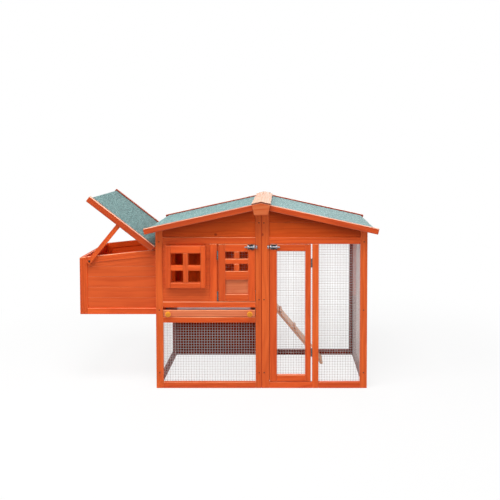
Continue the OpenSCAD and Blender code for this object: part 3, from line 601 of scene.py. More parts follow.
def settle(piece: bpy.types.Object, body: str, finish: Finish, *nodes: str) -> bpy.types.Object:
    """Give a piece its finish, its body and the solids that it stands for.

    Args:
        piece: The finished piece.
        body: Name of the body that it rides on.
        finish: Its finish.
        nodes: Names of the solids that it replaces.

    Returns:
        The same piece.
    """
    piece.data.materials.clear()
    piece.data.materials.append(finish.material())
    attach(piece, body)
    if nodes:
        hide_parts(*nodes)
    LOG.info("%s: %d faces, %s on %s", piece.name, len(piece.data.polygons), finish.name, body)
    return piece


def body_of(node: str) -> str:
    """Name of the body that a solid belongs to."""
    bodies = frame["record"]["behaviour"]["bodies"]
    return next(body for body, members in bodies.items() if node in members)


def solid_copy(node: str) -> Solid:
    """Copy of a solid's mesh, merged and with its flat faces whole again.

    Args:
        node: Name of the solid.

    Returns:
        The copy, for the caller to free.
    """
    copy = bmesh.new()
    copy.from_mesh(frame["nodes"][node].data)
    bmesh.ops.remove_doubles(copy, verts=copy.verts, dist=MERGE)
    bmesh.ops.dissolve_limit(copy, angle_limit=FLAT_ANGLE, verts=copy.verts, edges=copy.edges)
    return copy


def islands(solid: Solid) -> list[Group]:
    """Find the separate pieces in a mesh.

    Args:
        solid: The mesh.

    Returns:
        The vertices of each piece, with the pieces in order of their lowest and highest corners.
    """
    waiting = set(solid.verts)
    found = []
    while waiting:
        group = [waiting.pop()]
        for vert in group:
            near = [edge.other_vert(vert) for edge in vert.link_edges]
            fresh = [other for other in near if other in waiting]
            waiting.difference_update(fresh)
            group.extend(fresh)
        found.append(group)
    return sorted(found, key=lambda group: [pick(round(vert.co[i], PLACES) for vert in group)
                                            for pick in (min, max) for i in range(3)])


def middle(group: Group) -> Vector:
    """Mean place of a group of vertices, the same in whatever order they come."""
    return Vector([math.fsum(vert.co[i] for vert in group) / len(group) for i in range(3)])


def ranked(size: float, spot: Vector) -> tuple[float, ...]:
    """Key by which max() finds the largest thing, and the lowest one among equals."""
    return size, *(-round(value, PLACES) for value in spot.zyx)


def edge_rank(edge: bmesh.types.BMEdge) -> tuple[float, ...]:
    """Key that sorts edges by length."""
    return ranked(edge.calc_length(), edge.verts[0].co + edge.verts[1].co)


def side_rank(face: bmesh.types.BMFace, along: Vector) -> tuple[float, ...]:
    """Key that sorts the faces beside a direction by area, after those that lie across it."""
    beside = abs(face.normal.dot(along)) < BROAD_COSINE
    return ranked(face.calc_area() * beside, face.calc_center_median())


def joined(parts: Sequence[Solid]) -> Solid:
    """Put working meshes together into one.

    Args:
        parts: The meshes, which are freed.

    Returns:
        One mesh that holds them all.
    """
    whole = bmesh.new()
    for part in parts:
        mesh = bpy.data.meshes.new("part")
        part.to_mesh(mesh)
        part.free()
        whole.from_mesh(mesh)
        bpy.data.meshes.remove(mesh)
    return whole


def sliced(source: Solid, axis: Vector, cuts: Sequence[float], gap: float) -> Solid:
    """Cut a solid into boards.

    Args:
        source: The solid, which is freed.
        axis: Direction along which the boards lie side by side.
        cuts: Places of the cuts along the axis.
        gap: Width of the gap that each cut leaves.

    Returns:
        One mesh that holds the separate, closed boards.
    """
    boards = []
    for low, high in zip([None, *cuts], [*cuts, None]):
        part = source.copy()
        for place, clear, shift in ((low, "clear_inner", gap / 2), (high, "clear_outer", -gap / 2)):
            if place is None:
                continue
            spot = axis * (place + shift)
            geometry = [*part.verts, *part.edges, *part.faces]
            bmesh.ops.bisect_plane(part, geom=geometry, plane_co=spot, plane_no=axis, **{clear: True})
            bmesh.ops.holes_fill(part, edges=[edge for edge in part.edges if edge.is_boundary])
        bmesh.ops.recalc_face_normals(part, faces=part.faces)
        boards.append(part)
    source.free()
    return joined(boards)


def eased(solid: Solid, ease: float) -> None:
    """Ease the sharp edges of a solid, and mark the eased faces in the face attribute edge, upward ones
    fully as wear with a painted highlight.

    Args:
        solid: The solid.
        ease: Width taken off each side of an edge.
    """
    mark = solid.faces.layers.float.new("edge")
    sharp = [edge for edge in solid.edges if edge.is_manifold and edge.calc_face_angle(0.0) > SHARP_ANGLE]
    made = bmesh.ops.bevel(solid, geom=sharp, offset=ease, offset_type="OFFSET", segments=EASE_STEPS,
                           profile=ROUND_PROFILE, affect="EDGES", clamp_overlap=True)
    for face in made["faces"]:
        face.normal_update()
        # Upward eased faces get a painted highlight as well as wear; the others only a little wear.
        face[mark] = TOP_WEAR_AND_HIGHLIGHT if face.normal.z > TOP_COSINE else SIDE_WEAR


def grained(solid: Solid, grain: Axis | None, draw: random.Random) -> None:
    """Give every board in a mesh its own grain coordinates and tone.

    Args:
        solid: The boards.
        grain: Direction of the grain, or None to follow each board's longest edge.
        draw: Source of each board's place in the trunk.
    """
    place = solid.verts.layers.float_vector.new("grain")
    tone = solid.verts.layers.float.new("tone")
    end = solid.faces.layers.float.new("end")
    for group in islands(solid):
        edges = {edge for vert in group for edge in vert.link_edges}
        faces = {face for vert in group for face in vert.link_faces}
        longest = max(edges, key=edge_rank)
        along = grain.vector if grain else (longest.verts[1].co - longest.verts[0].co).normalized()
        broad = max(faces, key=lambda face: side_rank(face, along))
        across = broad.normal.cross(along).normalized()
        depth = along.cross(across)
        for face in faces:
            face[end] = float(abs(face.normal.dot(along)) > END_COSINE)
        centre = middle(group)
        start = Vector((draw.uniform(0, TRUNK_LENGTH), draw.uniform(-PITH_ASIDE, PITH_ASIDE),
                        draw.uniform(*PITH_DEPTH)))
        shade = draw.random()
        for vert in group:
            offset = vert.co - centre
            vert[place] = start + Vector((offset.dot(along), offset.dot(across), offset.dot(depth)))
            vert[tone] = shade


def finished(name: str, solid: Solid, smooth: bool = False) -> bpy.types.Object:
    """Turn a working mesh into an object.

    Args:
        name: Name of the object.
        solid: The working mesh, which is freed.
        smooth: Whether round faces are shaded smooth.

    Returns:
        The new object.
    """
    mesh = bpy.data.meshes.new(name)
    solid.to_mesh(mesh)
    solid.free()
    if smooth:
        mesh.shade_smooth()
        mesh.set_sharp_from_angle(angle=SMOOTH_ANGLE)
    return new_object(name, mesh)


@dataclass(frozen=True)
class Joinery:
    """How wooden solids are dressed: their finish, eased edges, grain and boards."""

    finish: Finish
    ease: float = 0.0024
    grain: Axis | None = None
    boards: Axis | None = None
    board_w: float = 0.066
    gap: float = 0.0005
    # Faces that look towards this place get painted shade, and painted deep shade below the given height.
    room: Triple | None = None
    deep_shade_z: float = 0.405
    # Place of a seam whose eased faces get painted shadow.
    seam_x: float | None = None

    def dress(self, node: str) -> bpy.types.Object:
        """Dress one wooden solid, in boards where it has them.

        Args:
            node: Name of the solid.

        Returns:
            The dressed piece.
        """
        solid = solid_copy(node)
        if self.boards:
            solid = sliced(solid, self.boards.vector, self._board_joints(node), self.gap)
        eased(solid, self.ease)
        grained(solid, self.grain, random.Random(node))
        if self.room:
            self._paint_inner_shade(solid)
        if self.seam_x is not None:
            self._paint_seam_shadow(solid)
        return settle(finished(f"{node}_wood", solid), body_of(node), self.finish, node)

    def _paint_inner_shade(self, solid: Solid) -> None:
        """Mark the faces that look into the room for painted shade: painted red bounce light, or, near the
        ground, painted deep shade.

        Args:
            solid: The solid, already eased.
        """
        geometry = [*solid.verts, *solid.edges, *solid.faces]
        level = Vector((0.0, 0.0, self.deep_shade_z))
        bmesh.ops.bisect_plane(solid, geom=geometry, plane_co=level, plane_no=Axis.Z.vector)
        mark = solid.faces.layers.float.new("inside")
        edge = solid.faces.layers.float["edge"]
        for face in solid.faces:
            face.normal_update()
            spot = face.calc_center_median()
            if face.normal.dot(Vector(self.room) - spot) > 0:
                face[mark] = DEEP_SHADE_MARK if spot.z < self.deep_shade_z else BOUNCE_MARK
                face[edge] = 0.0

    def _paint_seam_shadow(self, solid: Solid) -> None:
        """Mark the eased faces beside a seam with painted shadow, which keeps them dark.

        Args:
            solid: The solid, already eased.
        """
        mark = solid.faces.layers.float.new("inside")
        edge = solid.faces.layers.float["edge"]
        for face in solid.faces:
            if abs(face.calc_center_median().x - self.seam_x) < self.ease:
                face[mark] = SEAM_SHADOW_MARK
                face[edge] = 0.0

    def _board_joints(self, node: str) -> list[float]:
        """Share a solid out into boards of about the board width.

        Args:
            node: Name of the solid.

        Returns:
            The places of the joints between its boards.
        """
        low, high = (corner.dot(self.boards.vector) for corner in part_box(node))
        count = max(1, round((high - low) / self.board_w))
        return [low + (high - low) * step / count for step in range(1, count)]


FRAME_JOINERY = Joinery(FRAME_STAIN)
# The posts meet at the ridge line, where painted shadow darkens the groove between them.
POST_JOINERY = Joinery(POST_STAIN, seam_x=RIDGE_X)
GABLE_JOINERY = Joinery(SHADOWED_GABLE_STAIN, BOARD_EASE, Axis.X, Axis.Z, board_w=0.088)
PLAIN_BOARD = Joinery(BOARD_STAIN, BOARD_EASE)


def lathe(profile: Outline, axis: Vector, origin: Vector, steps: int) -> Solid:
    """Turn a profile about an axis.

    Args:
        profile: Radius and height of each point, from the foot to the top.
        axis: Direction of the height.
        origin: Place of height zero.
        steps: Number of steps around.

    Returns:
        A closed mesh.
    """
    turned = bmesh.new()
    up = axis.normalized()
    side = up.orthogonal().normalized()
    points = [origin + side * radius + up * height for radius, height in profile]
    line = [turned.verts.new(point) for point in points]
    edges = [turned.edges.new(pair) for pair in zip(line, line[1:])]
    bmesh.ops.spin(turned, geom=[*line, *edges], cent=origin, axis=up, angle=math.tau, steps=steps)
    bmesh.ops.remove_doubles(turned, verts=turned.verts, dist=MERGE)
    bmesh.ops.holes_fill(turned, edges=[edge for edge in turned.edges if edge.is_boundary])
    bmesh.ops.recalc_face_normals(turned, faces=turned.faces)
    return turned


def lofted(rings: Sequence[Sequence[Vector]]) -> Solid:
    """Span rings of as many points with faces, and close the first and the last.

    Args:
        rings: Points of each ring, all in the same order around.

    Returns:
        A closed mesh.
    """
    made = bmesh.new()
    loops = [[made.verts.new(point) for point in ring] for ring in rings]
    for first, second in zip(loops, loops[1:]):
        for index, vert in enumerate(first):
            after = (index + 1) % len(first)
            made.faces.new((vert, first[after], second[after], second[index]))
    made.faces.new(loops[0])
    made.faces.new(loops[-1][::-1])
    bmesh.ops.recalc_face_normals(made, faces=made.faces)
    return made


def prism(outline: Sequence[Vector], along: Vector) -> Solid:
    """A flat outline drawn out along a vector into a closed solid."""
    return lofted([outline, [point + along for point in outline]])


def planed(name: str, boxes: Sequence[VectorPair], ease: float, grain: Axis | None,
           seed: str) -> bpy.types.Object:
    """Make square sticks with eased edges and their own grain.

    Args:
        name: Name of the object.
        boxes: Lowest and highest corner of each stick.
        ease: Width taken off each side of an edge.
        grain: Direction of the grain, or None to follow each stick.
        seed: Seed of the sticks' places in the trunk.

    Returns:
        The new object.
    """
    made = bmesh.new()
    for low, high in boxes:
        place = Matrix.LocRotScale((low + high) / 2, None, high - low)
        bmesh.ops.create_cube(made, size=1.0, matrix=place)
    eased(made, ease)
    grained(made, grain, random.Random(seed))
    return finished(name, made)


def rounded_rectangle(low: Pair, high: Pair, radius: float, steps: int = 5) -> list[Pair]:
    """Points around a rectangle with round corners.

    Args:
        low: Lowest corner.
        high: Highest corner.
        radius: Radius of the corners.
        steps: Number of steps in each corner.

    Returns:
        The points, anticlockwise.
    """
    centres = ((high[0] - radius, high[1] - radius), (low[0] + radius, high[1] - radius),
               (low[0] + radius, low[1] + radius), (high[0] - radius, low[1] + radius))
    points = []
    for quarter, (x, y) in enumerate(centres):
        for step in range(steps + 1):
            angle = (quarter + step / steps) * math.pi / 2
            points.append((x + radius * math.cos(angle), y + radius * math.sin(angle)))
    return points


class Growth:
    """A geometry tree with named inputs, grown into plain meshes."""

    def __init__(self, name: str, inputs: dict[str, str]) -> None:
        """Start a tree.

        Args:
            name: Name of the tree.
            inputs: Socket type of each named input.
        """
        self.tree = bpy.data.node_groups.new(name, "GeometryNodeTree")
        for label, kind in inputs.items():
            self.tree.interface.new_socket(name=label, in_out="INPUT", socket_type=kind)
        self.tree.interface.new_socket(name="Geometry", in_out="OUTPUT", socket_type="NodeSocketGeometry")
        self.maker = TreeMaker(self.tree)
        self.given = self.maker.add("NodeGroupInput").outputs

    def vector(self, *values: object) -> Socket:
        """Vector of three values."""
        return self.maker.add("ShaderNodeCombineXYZ", dict(enumerate(values))).outputs[0]

    def end(self, geometry: Socket) -> None:
        """Realize the geometry, give it the input Material and make it the tree's output.

        Args:
            geometry: The finished geometry.
        """
        solid = self.maker.add("GeometryNodeRealizeInstances", {0: geometry}).outputs[0]
        inputs = {0: solid, "Material": self.given["Material"]}
        dressed = self.maker.add("GeometryNodeSetMaterial", inputs).outputs[0]
        self.maker.add("NodeGroupOutput", {0: dressed})

    def grow(self, name: str, values: dict[str, object],
             base: bpy.types.Mesh | None = None) -> bpy.types.Object:
        """Grow the tree into a plain mesh.

        Args:
            name: Name of the new object.
            values: Value of each named input.
            base: Mesh that the tree grows on, if it needs one.

        Returns:
            The new object, with no modifier left on it.
        """
        made = new_object(name, base or bpy.data.meshes.new(name))
        modifier = made.modifiers.new("growth", "NODES")
        modifier.node_group = self.tree
        for socket in self.tree.interface.items_tree:
            if socket.in_out == "INPUT" and socket.name in values:
                modifier[socket.identifier] = values[socket.name]
        bpy.context.view_layer.update()
        grown = made.evaluated_get(bpy.context.evaluated_depsgraph_get())
        mesh = bpy.data.meshes.new_from_object(grown)
        made.modifiers.clear()
        made.data = mesh
        mesh.name = name
        return made


class Side(Enum):
    """Which way a mesh panel faces: its turn about the upright, and on which side of its frame it lies."""

    FRONT = (0.0, 1.0)
    BACK = (0.0, -1.0)
    LEFT = (math.pi / 2, -1.0)
    RIGHT = (math.pi / 2, 1.0)


class WireGrowth(Growth):
    """Welded wire mesh: upright wires, level wires across them, and staples around the edge."""

    FLOATS = ("Width", "High", "Low", "Pitch", "Radius", "Flip", "Turn", "Staple Gap", "Staple Length",
              "Inset")
    SIDES = 6
    SLACK = 1e-4
    UPRIGHT_LAYER = 1.0
    LEVEL_LAYER = 3.0
    STAPLE_LAYER = 5.0

    def __init__(self) -> None:
        """Build the tree."""
        inputs = {label: "NodeSocketFloat" for label in self.FLOATS}
        inputs |= {"Origin": "NodeSocketVector", "Material": "NodeSocketMaterial"}
        super().__init__("welded_wire", inputs)
        parts = [self._uprights(), self._levels(), self._staples()]
        whole = self.maker.add("GeometryNodeJoinGeometry")
        for part in parts:
            self.tree.links.new(part, whole.inputs[0])
        turn = self.vector(0.0, 0.0, self.given["Turn"])
        rotation = self.maker.add("FunctionNodeEulerToRotation", {0: turn}).outputs[0]
        inputs = {0: whole.outputs[0], "Translation": self.given["Origin"], "Rotation": rotation}
        self.end(self.maker.add("GeometryNodeTransform", inputs).outputs[0])

    def _half(self, value: Socket) -> Socket:
        """Half of a value."""
        return self.maker.math("DIVIDE", value, 2.0)

    def _depth(self, radii: float) -> Socket:
        """Place of a layer of wires behind the frame, in wire radii."""
        depth = self.maker.math("MULTIPLY", self.given["Radius"], radii)
        return self.maker.math("MULTIPLY", depth, self.given["Flip"])

    def _place(self, axis: str) -> Socket:
        """One coordinate of each point."""
        spot = self.maker.add("GeometryNodeInputPosition").outputs[0]
        return self.maker.add("ShaderNodeSeparateXYZ", {0: spot}).outputs[axis]

    def _uprights(self) -> Socket:
        """Set upright wires, each as tall as the panel is there.

        Returns:
            The wires.
        """
        fall = self.maker.math("SUBTRACT", self.given["Low"], self.given["High"])
        share = self.maker.math("DIVIDE", self._place("X"), self.given["Width"])
        reach = self.maker.math("MULTIPLY_ADD", fall, share, self.given["High"])
        line = self._line(self.given["Width"], self.UPRIGHT_LAYER, lambda step: self.vector(step, 0.0, 0.0))
        return self._wires(line, reach, self.vector(0.0, 0.0, self._half(reach)), (0.0, 0.0, 0.0))

    def _levels(self) -> Socket:
        """Lay level wires, each as wide as the panel is there.

        Returns:
            The wires.
        """
        below = self.maker.math("SUBTRACT", self.given["High"], self._place("Z"))
        slope = self.maker.math("SUBTRACT", self.given["High"], self.given["Low"])
        share = self.maker.math("DIVIDE", self.maker.math("ADD", below, self.SLACK),
                                self.maker.math("ADD", slope, self.SLACK))
        reach = self.maker.math("MULTIPLY", self.maker.math("MINIMUM", share, 1.0), self.given["Width"])
        line = self._line(self.given["High"], self.LEVEL_LAYER, lambda step: self.vector(0.0, 0.0, step))
        return self._wires(line, reach, self.vector(self._half(reach), 0.0, 0.0), (0.0, math.pi / 2, 0.0))

    def _line(self, length: Socket, radii: float, step: Callable[[Socket], Socket]) -> Socket:
        """Place points a wire pitch apart.

        Args:
            length: Length of the line.
            radii: Depth of the layer, in wire radii.
            step: Turns the pitch into the way from point to point.

        Returns:
            The points.
        """
        count = self.maker.math("ROUND", self.maker.math("DIVIDE", length, self.given["Pitch"]))
        start = self.vector(0.0, self._depth(radii), 0.0)
        offset = step(self.maker.math("DIVIDE", length, count))
        inputs = {"Count": self.maker.math("ADD", count, 1.0), "Start Location": start, "Offset": offset}
        return self.maker.add("GeometryNodeMeshLine", inputs).outputs[0]

    def _wires(self, line: Socket, reach: Socket, shift: Socket, tilt: Triple) -> Socket:
        """Put a wire at each point of a line.

        Args:
            line: The points, at the wires' ends.
            reach: Length of each wire.
            shift: Way from a wire's end to its middle.
            tilt: How an upright wire is turned.

        Returns:
            The wires.
        """
        middle = self.maker.add("GeometryNodeSetPosition", {0: line, "Offset": shift}).outputs[0]
        inputs = {0: middle, "Instance": self._wire(1.0), "Rotation": tilt,
                  "Scale": self.vector(1.0, 1.0, reach)}
        return self.maker.add("GeometryNodeInstanceOnPoints", inputs).outputs[0]

    def _wire(self, length: object) -> Socket:
        """Draw one upright wire.

        Args:
            length: Its length.

        Returns:
            The wire.
        """
        inputs = {"Vertices": self.SIDES, "Radius": self.given["Radius"], "Depth": length}
        wire = self.maker.add("GeometryNodeMeshCylinder", inputs).outputs["Mesh"]
        return self.maker.add("GeometryNodeSetShadeSmooth", {0: wire}).outputs[0]

    def _staples(self) -> Socket:
        """Drive staples over the wires, along the edge that the frame backs.

        Returns:
            The staples.
        """
        margin = self.maker.math("MULTIPLY", self.given["Inset"], -2.0)
        inputs = {"Width": self.maker.math("ADD", self.given["Width"], margin),
                  "Height": self.maker.math("ADD", self.given["Low"], margin)}
        rim = self.maker.add("GeometryNodeCurvePrimitiveQuadrilateral", inputs).outputs[0]
        middle = self.vector(self._half(self.given["Width"]), self._depth(self.STAPLE_LAYER),
                             self._half(self.given["Low"]))
        inputs = {0: rim, "Translation": middle, "Rotation": (math.pi / 2, 0.0, 0.0)}
        upright = self.maker.add("GeometryNodeTransform", inputs).outputs[0]
        inputs = {0: upright, "Length": self.given["Staple Gap"]}
        points = self.maker.add("GeometryNodeCurveToPoints", inputs, mode="LENGTH")
        inputs = {0: points.outputs["Points"], "Instance": self._wire(self.given["Staple Length"]),
                  "Rotation": points.outputs["Rotation"]}
        return self.maker.add("GeometryNodeInstanceOnPoints", inputs).outputs[0]


class ScrewGrowth(Growth):
    """Pan-head screws with a cross recess, one on each vertex, facing along the attribute facing."""

    SEED = 7
    SIDES = 16
    CROWN = 0.72
    SLOT_LENGTH = 1.1
    SLOT_WIDTH = 0.24

    def __init__(self) -> None:
        """Build the tree."""
        super().__init__("pan_head_screws", {"Points": "NodeSocketGeometry", "Radius": "NodeSocketFloat",
                                             "Height": "NodeSocketFloat", "Material": "NodeSocketMaterial"})
        facing = self.maker.add("GeometryNodeInputNamedAttribute", {"Name": "facing"},
                                data_type="FLOAT_VECTOR").outputs[0]
        inputs = {"Vector": facing}
        upright = self.maker.add("FunctionNodeAlignRotationToVector", inputs, axis="Z").outputs[0]
        spin = self.maker.add("FunctionNodeRandomValue", {2: 0.0, 3: math.tau, "Seed": self.SEED}).outputs[1]
        turn = self.vector(0.0, 0.0, spin)
        inputs = {0: upright, 1: self.maker.add("FunctionNodeEulerToRotation", {0: turn}).outputs[0]}
        rotation = self.maker.add("FunctionNodeRotateRotation", inputs, rotation_space="LOCAL").outputs[0]
        inputs = {0: self.given["Points"], "Instance": self._head(), "Rotation": rotation}
        self.end(self.maker.add("GeometryNodeInstanceOnPoints", inputs).outputs[0])

    def _head(self) -> Socket:
        """Draw a low cone with two crossed slots cut into it.

        Returns:
            The head.
        """
        radius, height = self.given["Radius"], self.given["Height"]
        inputs = {"Vertices": self.SIDES, "Radius Top": self.maker.math("MULTIPLY", radius, self.CROWN),
                  "Radius Bottom": radius, "Depth": height}
        cone = self.maker.add("GeometryNodeMeshCone", inputs).outputs[0]
        long = self.maker.math("MULTIPLY", radius, self.SLOT_LENGTH)
        short = self.maker.math("MULTIPLY", radius, self.SLOT_WIDTH)
        cut = self.maker.add("GeometryNodeMeshBoolean", {0: cone}, operation="DIFFERENCE")
        top = self.vector(0.0, 0.0, height)
        for width, depth in ((long, short), (short, long)):
            slot = self.maker.add("GeometryNodeMeshCube", {0: self.vector(width, depth, height)}).outputs[0]
            inputs = {0: slot, "Translation": top}
            self.tree.links.new(self.maker.add("GeometryNodeTransform", inputs).outputs[0], cut.inputs[1])
        return cut.outputs[0]


def screw_points(name: str, spots: Sequence[VectorPair]) -> bpy.types.Mesh:
    """Points for screws.

    Args:
        name: Name of the mesh.
        spots: Place and facing of each screw.

    Returns:
        A mesh of loose vertices, with the attribute facing.
    """
    mesh = bpy.data.meshes.new(name)
    mesh.from_pydata([place for place, _ in spots], [], [])
    facing = mesh.attributes.new("facing", "FLOAT_VECTOR", "POINT")
    facing.data.foreach_set("vector", [value for _, direction in spots for value in direction])
    return mesh


@dataclass(frozen=True)
class MeshPanel:
    """A panel of welded wire mesh, stapled to the inside of its frame."""

    node: str
    side: Side
    fall: float = 0.0
    pitch: float = 0.015
    radius: float = 0.0007
    staple_gap: float = 0.09
    staple_l: float = 0.009
    inset: float = 0.005

    def weave(self, growth: WireGrowth) -> bpy.types.Object:
        """Grow the panel in the place of its solid.

        Args:
            growth: Tree that grows welded wire.

        Returns:
            The panel.
        """
        low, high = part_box(self.node)
        turn, flip = self.side.value
        width = high.y - low.y if turn else high.x - low.x
        tall = high.z - low.z
        origin = (high.x if self.side is Side.RIGHT else low.x, high.y if self.side is Side.BACK else low.y,
                  low.z)
        values = {"Width": width, "High": tall, "Low": tall - width * self.fall, "Pitch": self.pitch,
                  "Radius": self.radius, "Flip": flip, "Turn": turn, "Staple Gap": self.staple_gap,
                  "Staple Length": self.staple_l, "Inset": self.inset, "Origin": origin,
                  "Material": WIRE.material()}
        return settle(growth.grow(f"{self.node}_wires", values), body_of(self.node), WIRE, self.node)


@dataclass(frozen=True)
class FeltCover:
    """Roofing felt laid on a deck and rolled over its outer edge."""

    node: str
    finish: Finish = FELT
    hangs: bool = True
    overhang: float = 0.0
    thick: float = 0.0028
    roll_r: float = 0.007
    roll_steps: int = 6
    columns: int = 56
    rows: int = 14
    wave: float = 0.0007
    wave_scale: float = 9.0

    def lay(self) -> bpy.types.Object:
        """Lay the felt in the place of its solid, one sheet on each deck.

        Returns:
            The felt.
        """
        solid = solid_copy(self.node)
        sheets = [self._sheet(group) for group in islands(solid)]
        solid.free()
        piece = finished(f"{self.node}_sheet", joined(sheets), True)
        return settle(piece, body_of(self.node), self.finish, self.node)

    def _sheet(self, group: Group) -> Solid:
        """Shape one sheet after one deck's solid.

        Args:
            group: Vertices of the solid.

        Returns:
            The sheet.
        """
        top = max((face for vert in group for face in vert.link_faces),
                  key=lambda face: face.calc_area() * (face.normal.z > TOP_COSINE))
        corners = sorted((vert.co.copy() for vert in top.verts), key=lambda spot: abs(spot.x - RIDGE_X))
        start, end = corners[0], corners[-1]
        ends = min(spot.y for spot in corners), max(spot.y for spot in corners)
        down = Vector((end.x - start.x, 0.0, end.z - start.z))
        down += down.normalized() * self.overhang
        drop = Vector((0.0, 0.0, -1.0)) if self.hangs else -top.normal
        lip = max((vert.co - end).dot(drop) for vert in group)
        line = self._line(start, down, top.normal.copy(), drop, lip)
        shares = [column / self.columns for column in range(self.columns + 1)]
        return lofted([self._section(line, ends, share) for share in shares])

    def _line(self, start: Vector, down: Vector, normal: Vector, drop: Vector,
              lip: float) -> list[VectorPair]:
        """Follow the sheet from its inner edge to its hanging edge.

        Args:
            start: Place of the inner edge.
            down: Way down the deck to its outer edge.
            normal: Way out of the deck.
            drop: Direction in which the edge hangs.
            lip: How far it hangs.

        Returns:
            Points along the sheet, each with the way out of the sheet there.
        """
        along = down.normalized()
        turn = along.angle(drop)
        axis = along.cross(drop).normalized()
        tangent = self.roll_r * math.tan(turn / 2)
        flat = down.length - tangent
        line = [(start + along * flat * row / self.rows, normal) for row in range(self.rows + 1)]
        spot = line[-1][0]
        step = turn / self.roll_steps
        chord = 2 * self.roll_r * math.sin(step / 2)
        for index in range(self.roll_steps):
            spot = spot + Matrix.Rotation(step * (index + 0.5), 3, axis) @ along * chord
            line.append((spot, Matrix.Rotation(step * (index + 1), 3, axis) @ normal))
        line.append((spot + drop * (lip - tangent), line[-1][1]))
        return line

    def _section(self, line: list[VectorPair], ends: Pair, share: float) -> list[Vector]:
        """Cut across the sheet at one place along the deck.

        Args:
            line: Points along the sheet, each with the way out of the sheet.
            ends: Both ends of the deck.
            share: How far along the deck the cut is, from 0 to 1.

        Returns:
            Points around the cut, with the sheet's thickness and a slight wave.
        """
        y = ends[0] + (ends[1] - ends[0]) * share
        outer = [self._waved(Vector((spot.x, y, spot.z)), normal) for spot, normal in line]
        inner = [Vector((spot.x, y, spot.z)) - normal * self.thick for spot, normal in line]
        return outer + inner[::-1]

    def _waved(self, place: Vector, normal: Vector) -> Vector:
        """A point of the outer face, lifted a little where the felt has not settled."""
        return place + normal * self.wave * (0.5 + 0.5 * noise.noise(place * self.wave_scale))


def with_dark_reflection(solid: Solid, darkness: Callable[[Vector], float]) -> Solid:
    """Mark how dark a metal piece is painted, as a painted dark reflection, in a point attribute.

    Args:
        solid: The metal piece.
        darkness: Gives the painted dark reflection at a place, from 0 to 1.

    Returns:
        The same piece.
    """
    mark = solid.verts.layers.float.new("dark_reflection")
    for vert in solid.verts:
        vert[mark] = darkness(vert.co)
    return solid


@dataclass(frozen=True)
class Fitting:
    """Metal fittings with eased edges and an even painted dark reflection."""

    finish: Finish = ZINC
    # How much painted dark reflection the whole fitting gets.
    dark_reflection: float = 0.0

    def dress(self, node: str) -> bpy.types.Object:
        """Dress one metal solid in its place.

        Args:
            node: Name of the solid.

        Returns:
            The dressed piece.
        """
        solid = with_dark_reflection(solid_copy(node), lambda _: self.dark_reflection)
        eased(solid, METAL_EASE)
        return settle(finished(f"{node}_metal", solid, True), body_of(node), self.finish, node)


@dataclass
class HouseShell:
    """The raised house: posts, rails, boards, window and wire below its floor."""

    frame_nodes: tuple[str, ...] = ("house_front_rails", "house_mid_stile", "partition_rail")
    side_nodes: tuple[str, ...] = ("back_rails", "side_stiles", "side_rails")
    # The house's boards get painted shade on faces that look towards this place.
    room: Triple = (-0.11, 0.0, 0.6)
    side_wire_r: float = 0.00022
    side_board_w: float = 0.062
    reed_w: float = 0.0225
    reed_ease: float = 0.0009
    window_ease: float = 0.0018

    def build(self, wire: WireGrowth) -> None:
        """Build the house.

        Args:
            wire: Tree that grows welded wire.
        """
        for node in self.frame_nodes:
            FRAME_JOINERY.dress(node)
        POST_JOINERY.dress("house_front_posts")
        Joinery(POST_STAIN, room=BELOW_RIDGE).dress("house_back_posts")
        Joinery(RAIL_STAIN, self.window_ease).dress("window_frame")
        for node in self.side_nodes:
            Joinery(FRAME_STAIN, room=BELOW_RIDGE).dress(node)
        GABLE_JOINERY.dress("house_gable_boards")
        Joinery(BOARD_STAIN, BOARD_EASE, Axis.X).dress("window_panel")
        reeds = Joinery(BACK_STAIN, self.reed_ease, Axis.Z, Axis.X, self.reed_w, room=self.room)
        reeds.dress("house_back_boards")
        side = Joinery(BOARD_STAIN, BOARD_EASE, Axis.Y, Axis.Z, self.side_board_w, room=self.room)
        side.dress("house_side_boards")
        Joinery(BOARD_STAIN, BOARD_EASE, Axis.Z, Axis.Y, room=self.room).dress("partition_boards")
        PLAIN_BOARD.dress("tray_runners")
        MeshPanel("under_house_mesh", Side.FRONT).weave(wire)
        MeshPanel("house_side_mesh", Side.LEFT, radius=self.side_wire_r).weave(wire)


@dataclass
class RunShell:
    """The wire run: posts, rails, gable boards and wire on three sides."""

    pitch_fall: float = math.tan(math.radians(12.4))
    back_wire_r: float = 0.00045
    # The back posts' inward faces below this height get painted deep shade.
    deep_shade_z: float = 1.1

    def build(self, wire: WireGrowth) -> None:
        """Build the run.

        Args:
            wire: Tree that grows welded wire.
        """
        POST_JOINERY.dress("run_front_posts")
        Joinery(RAIL_STAIN).dress("run_front_rails")
        Joinery(POST_STAIN, room=BELOW_RIDGE, deep_shade_z=self.deep_shade_z).dress("run_back_posts")
        GABLE_JOINERY.dress("run_gable_boards")
        MeshPanel("run_front_mesh", Side.FRONT).weave(wire)
        MeshPanel("run_side_mesh", Side.RIGHT).weave(wire)
        MeshPanel("run_back_mesh", Side.BACK, self.pitch_fall, radius=self.back_wire_r).weave(wire)


@dataclass
class Roof:
    """The felted roof with its barge boards, ridge cap and end blocks."""

    board_w: float = 0.09
    # Barge board faces that look towards this place get painted deep shade below the given height.
    ridge_under: Triple = (0.19, 0.0, 0.9)
    deep_shade_z: float = 1.1
    cap_ease: float = 0.002

    def build(self) -> None:
        """Build the roof."""
        Joinery(BOARD_STAIN, BOARD_EASE, Axis.Y, Axis.X, self.board_w).dress("roof_deck")
        FeltCover("roof_felt").lay()
        Joinery(BARGE_STAIN, TRIM_EASE, room=self.ridge_under, deep_shade_z=self.deep_shade_z).dress("barge_boards")
        Joinery(BLOCK_STAIN).dress("ridge_end_blocks")
        # The cap's pale colour is a painted sheen.
        Joinery(SHEEN_PAINTED_CAP, self.cap_ease, Axis.Y).dress("ridge_cap")


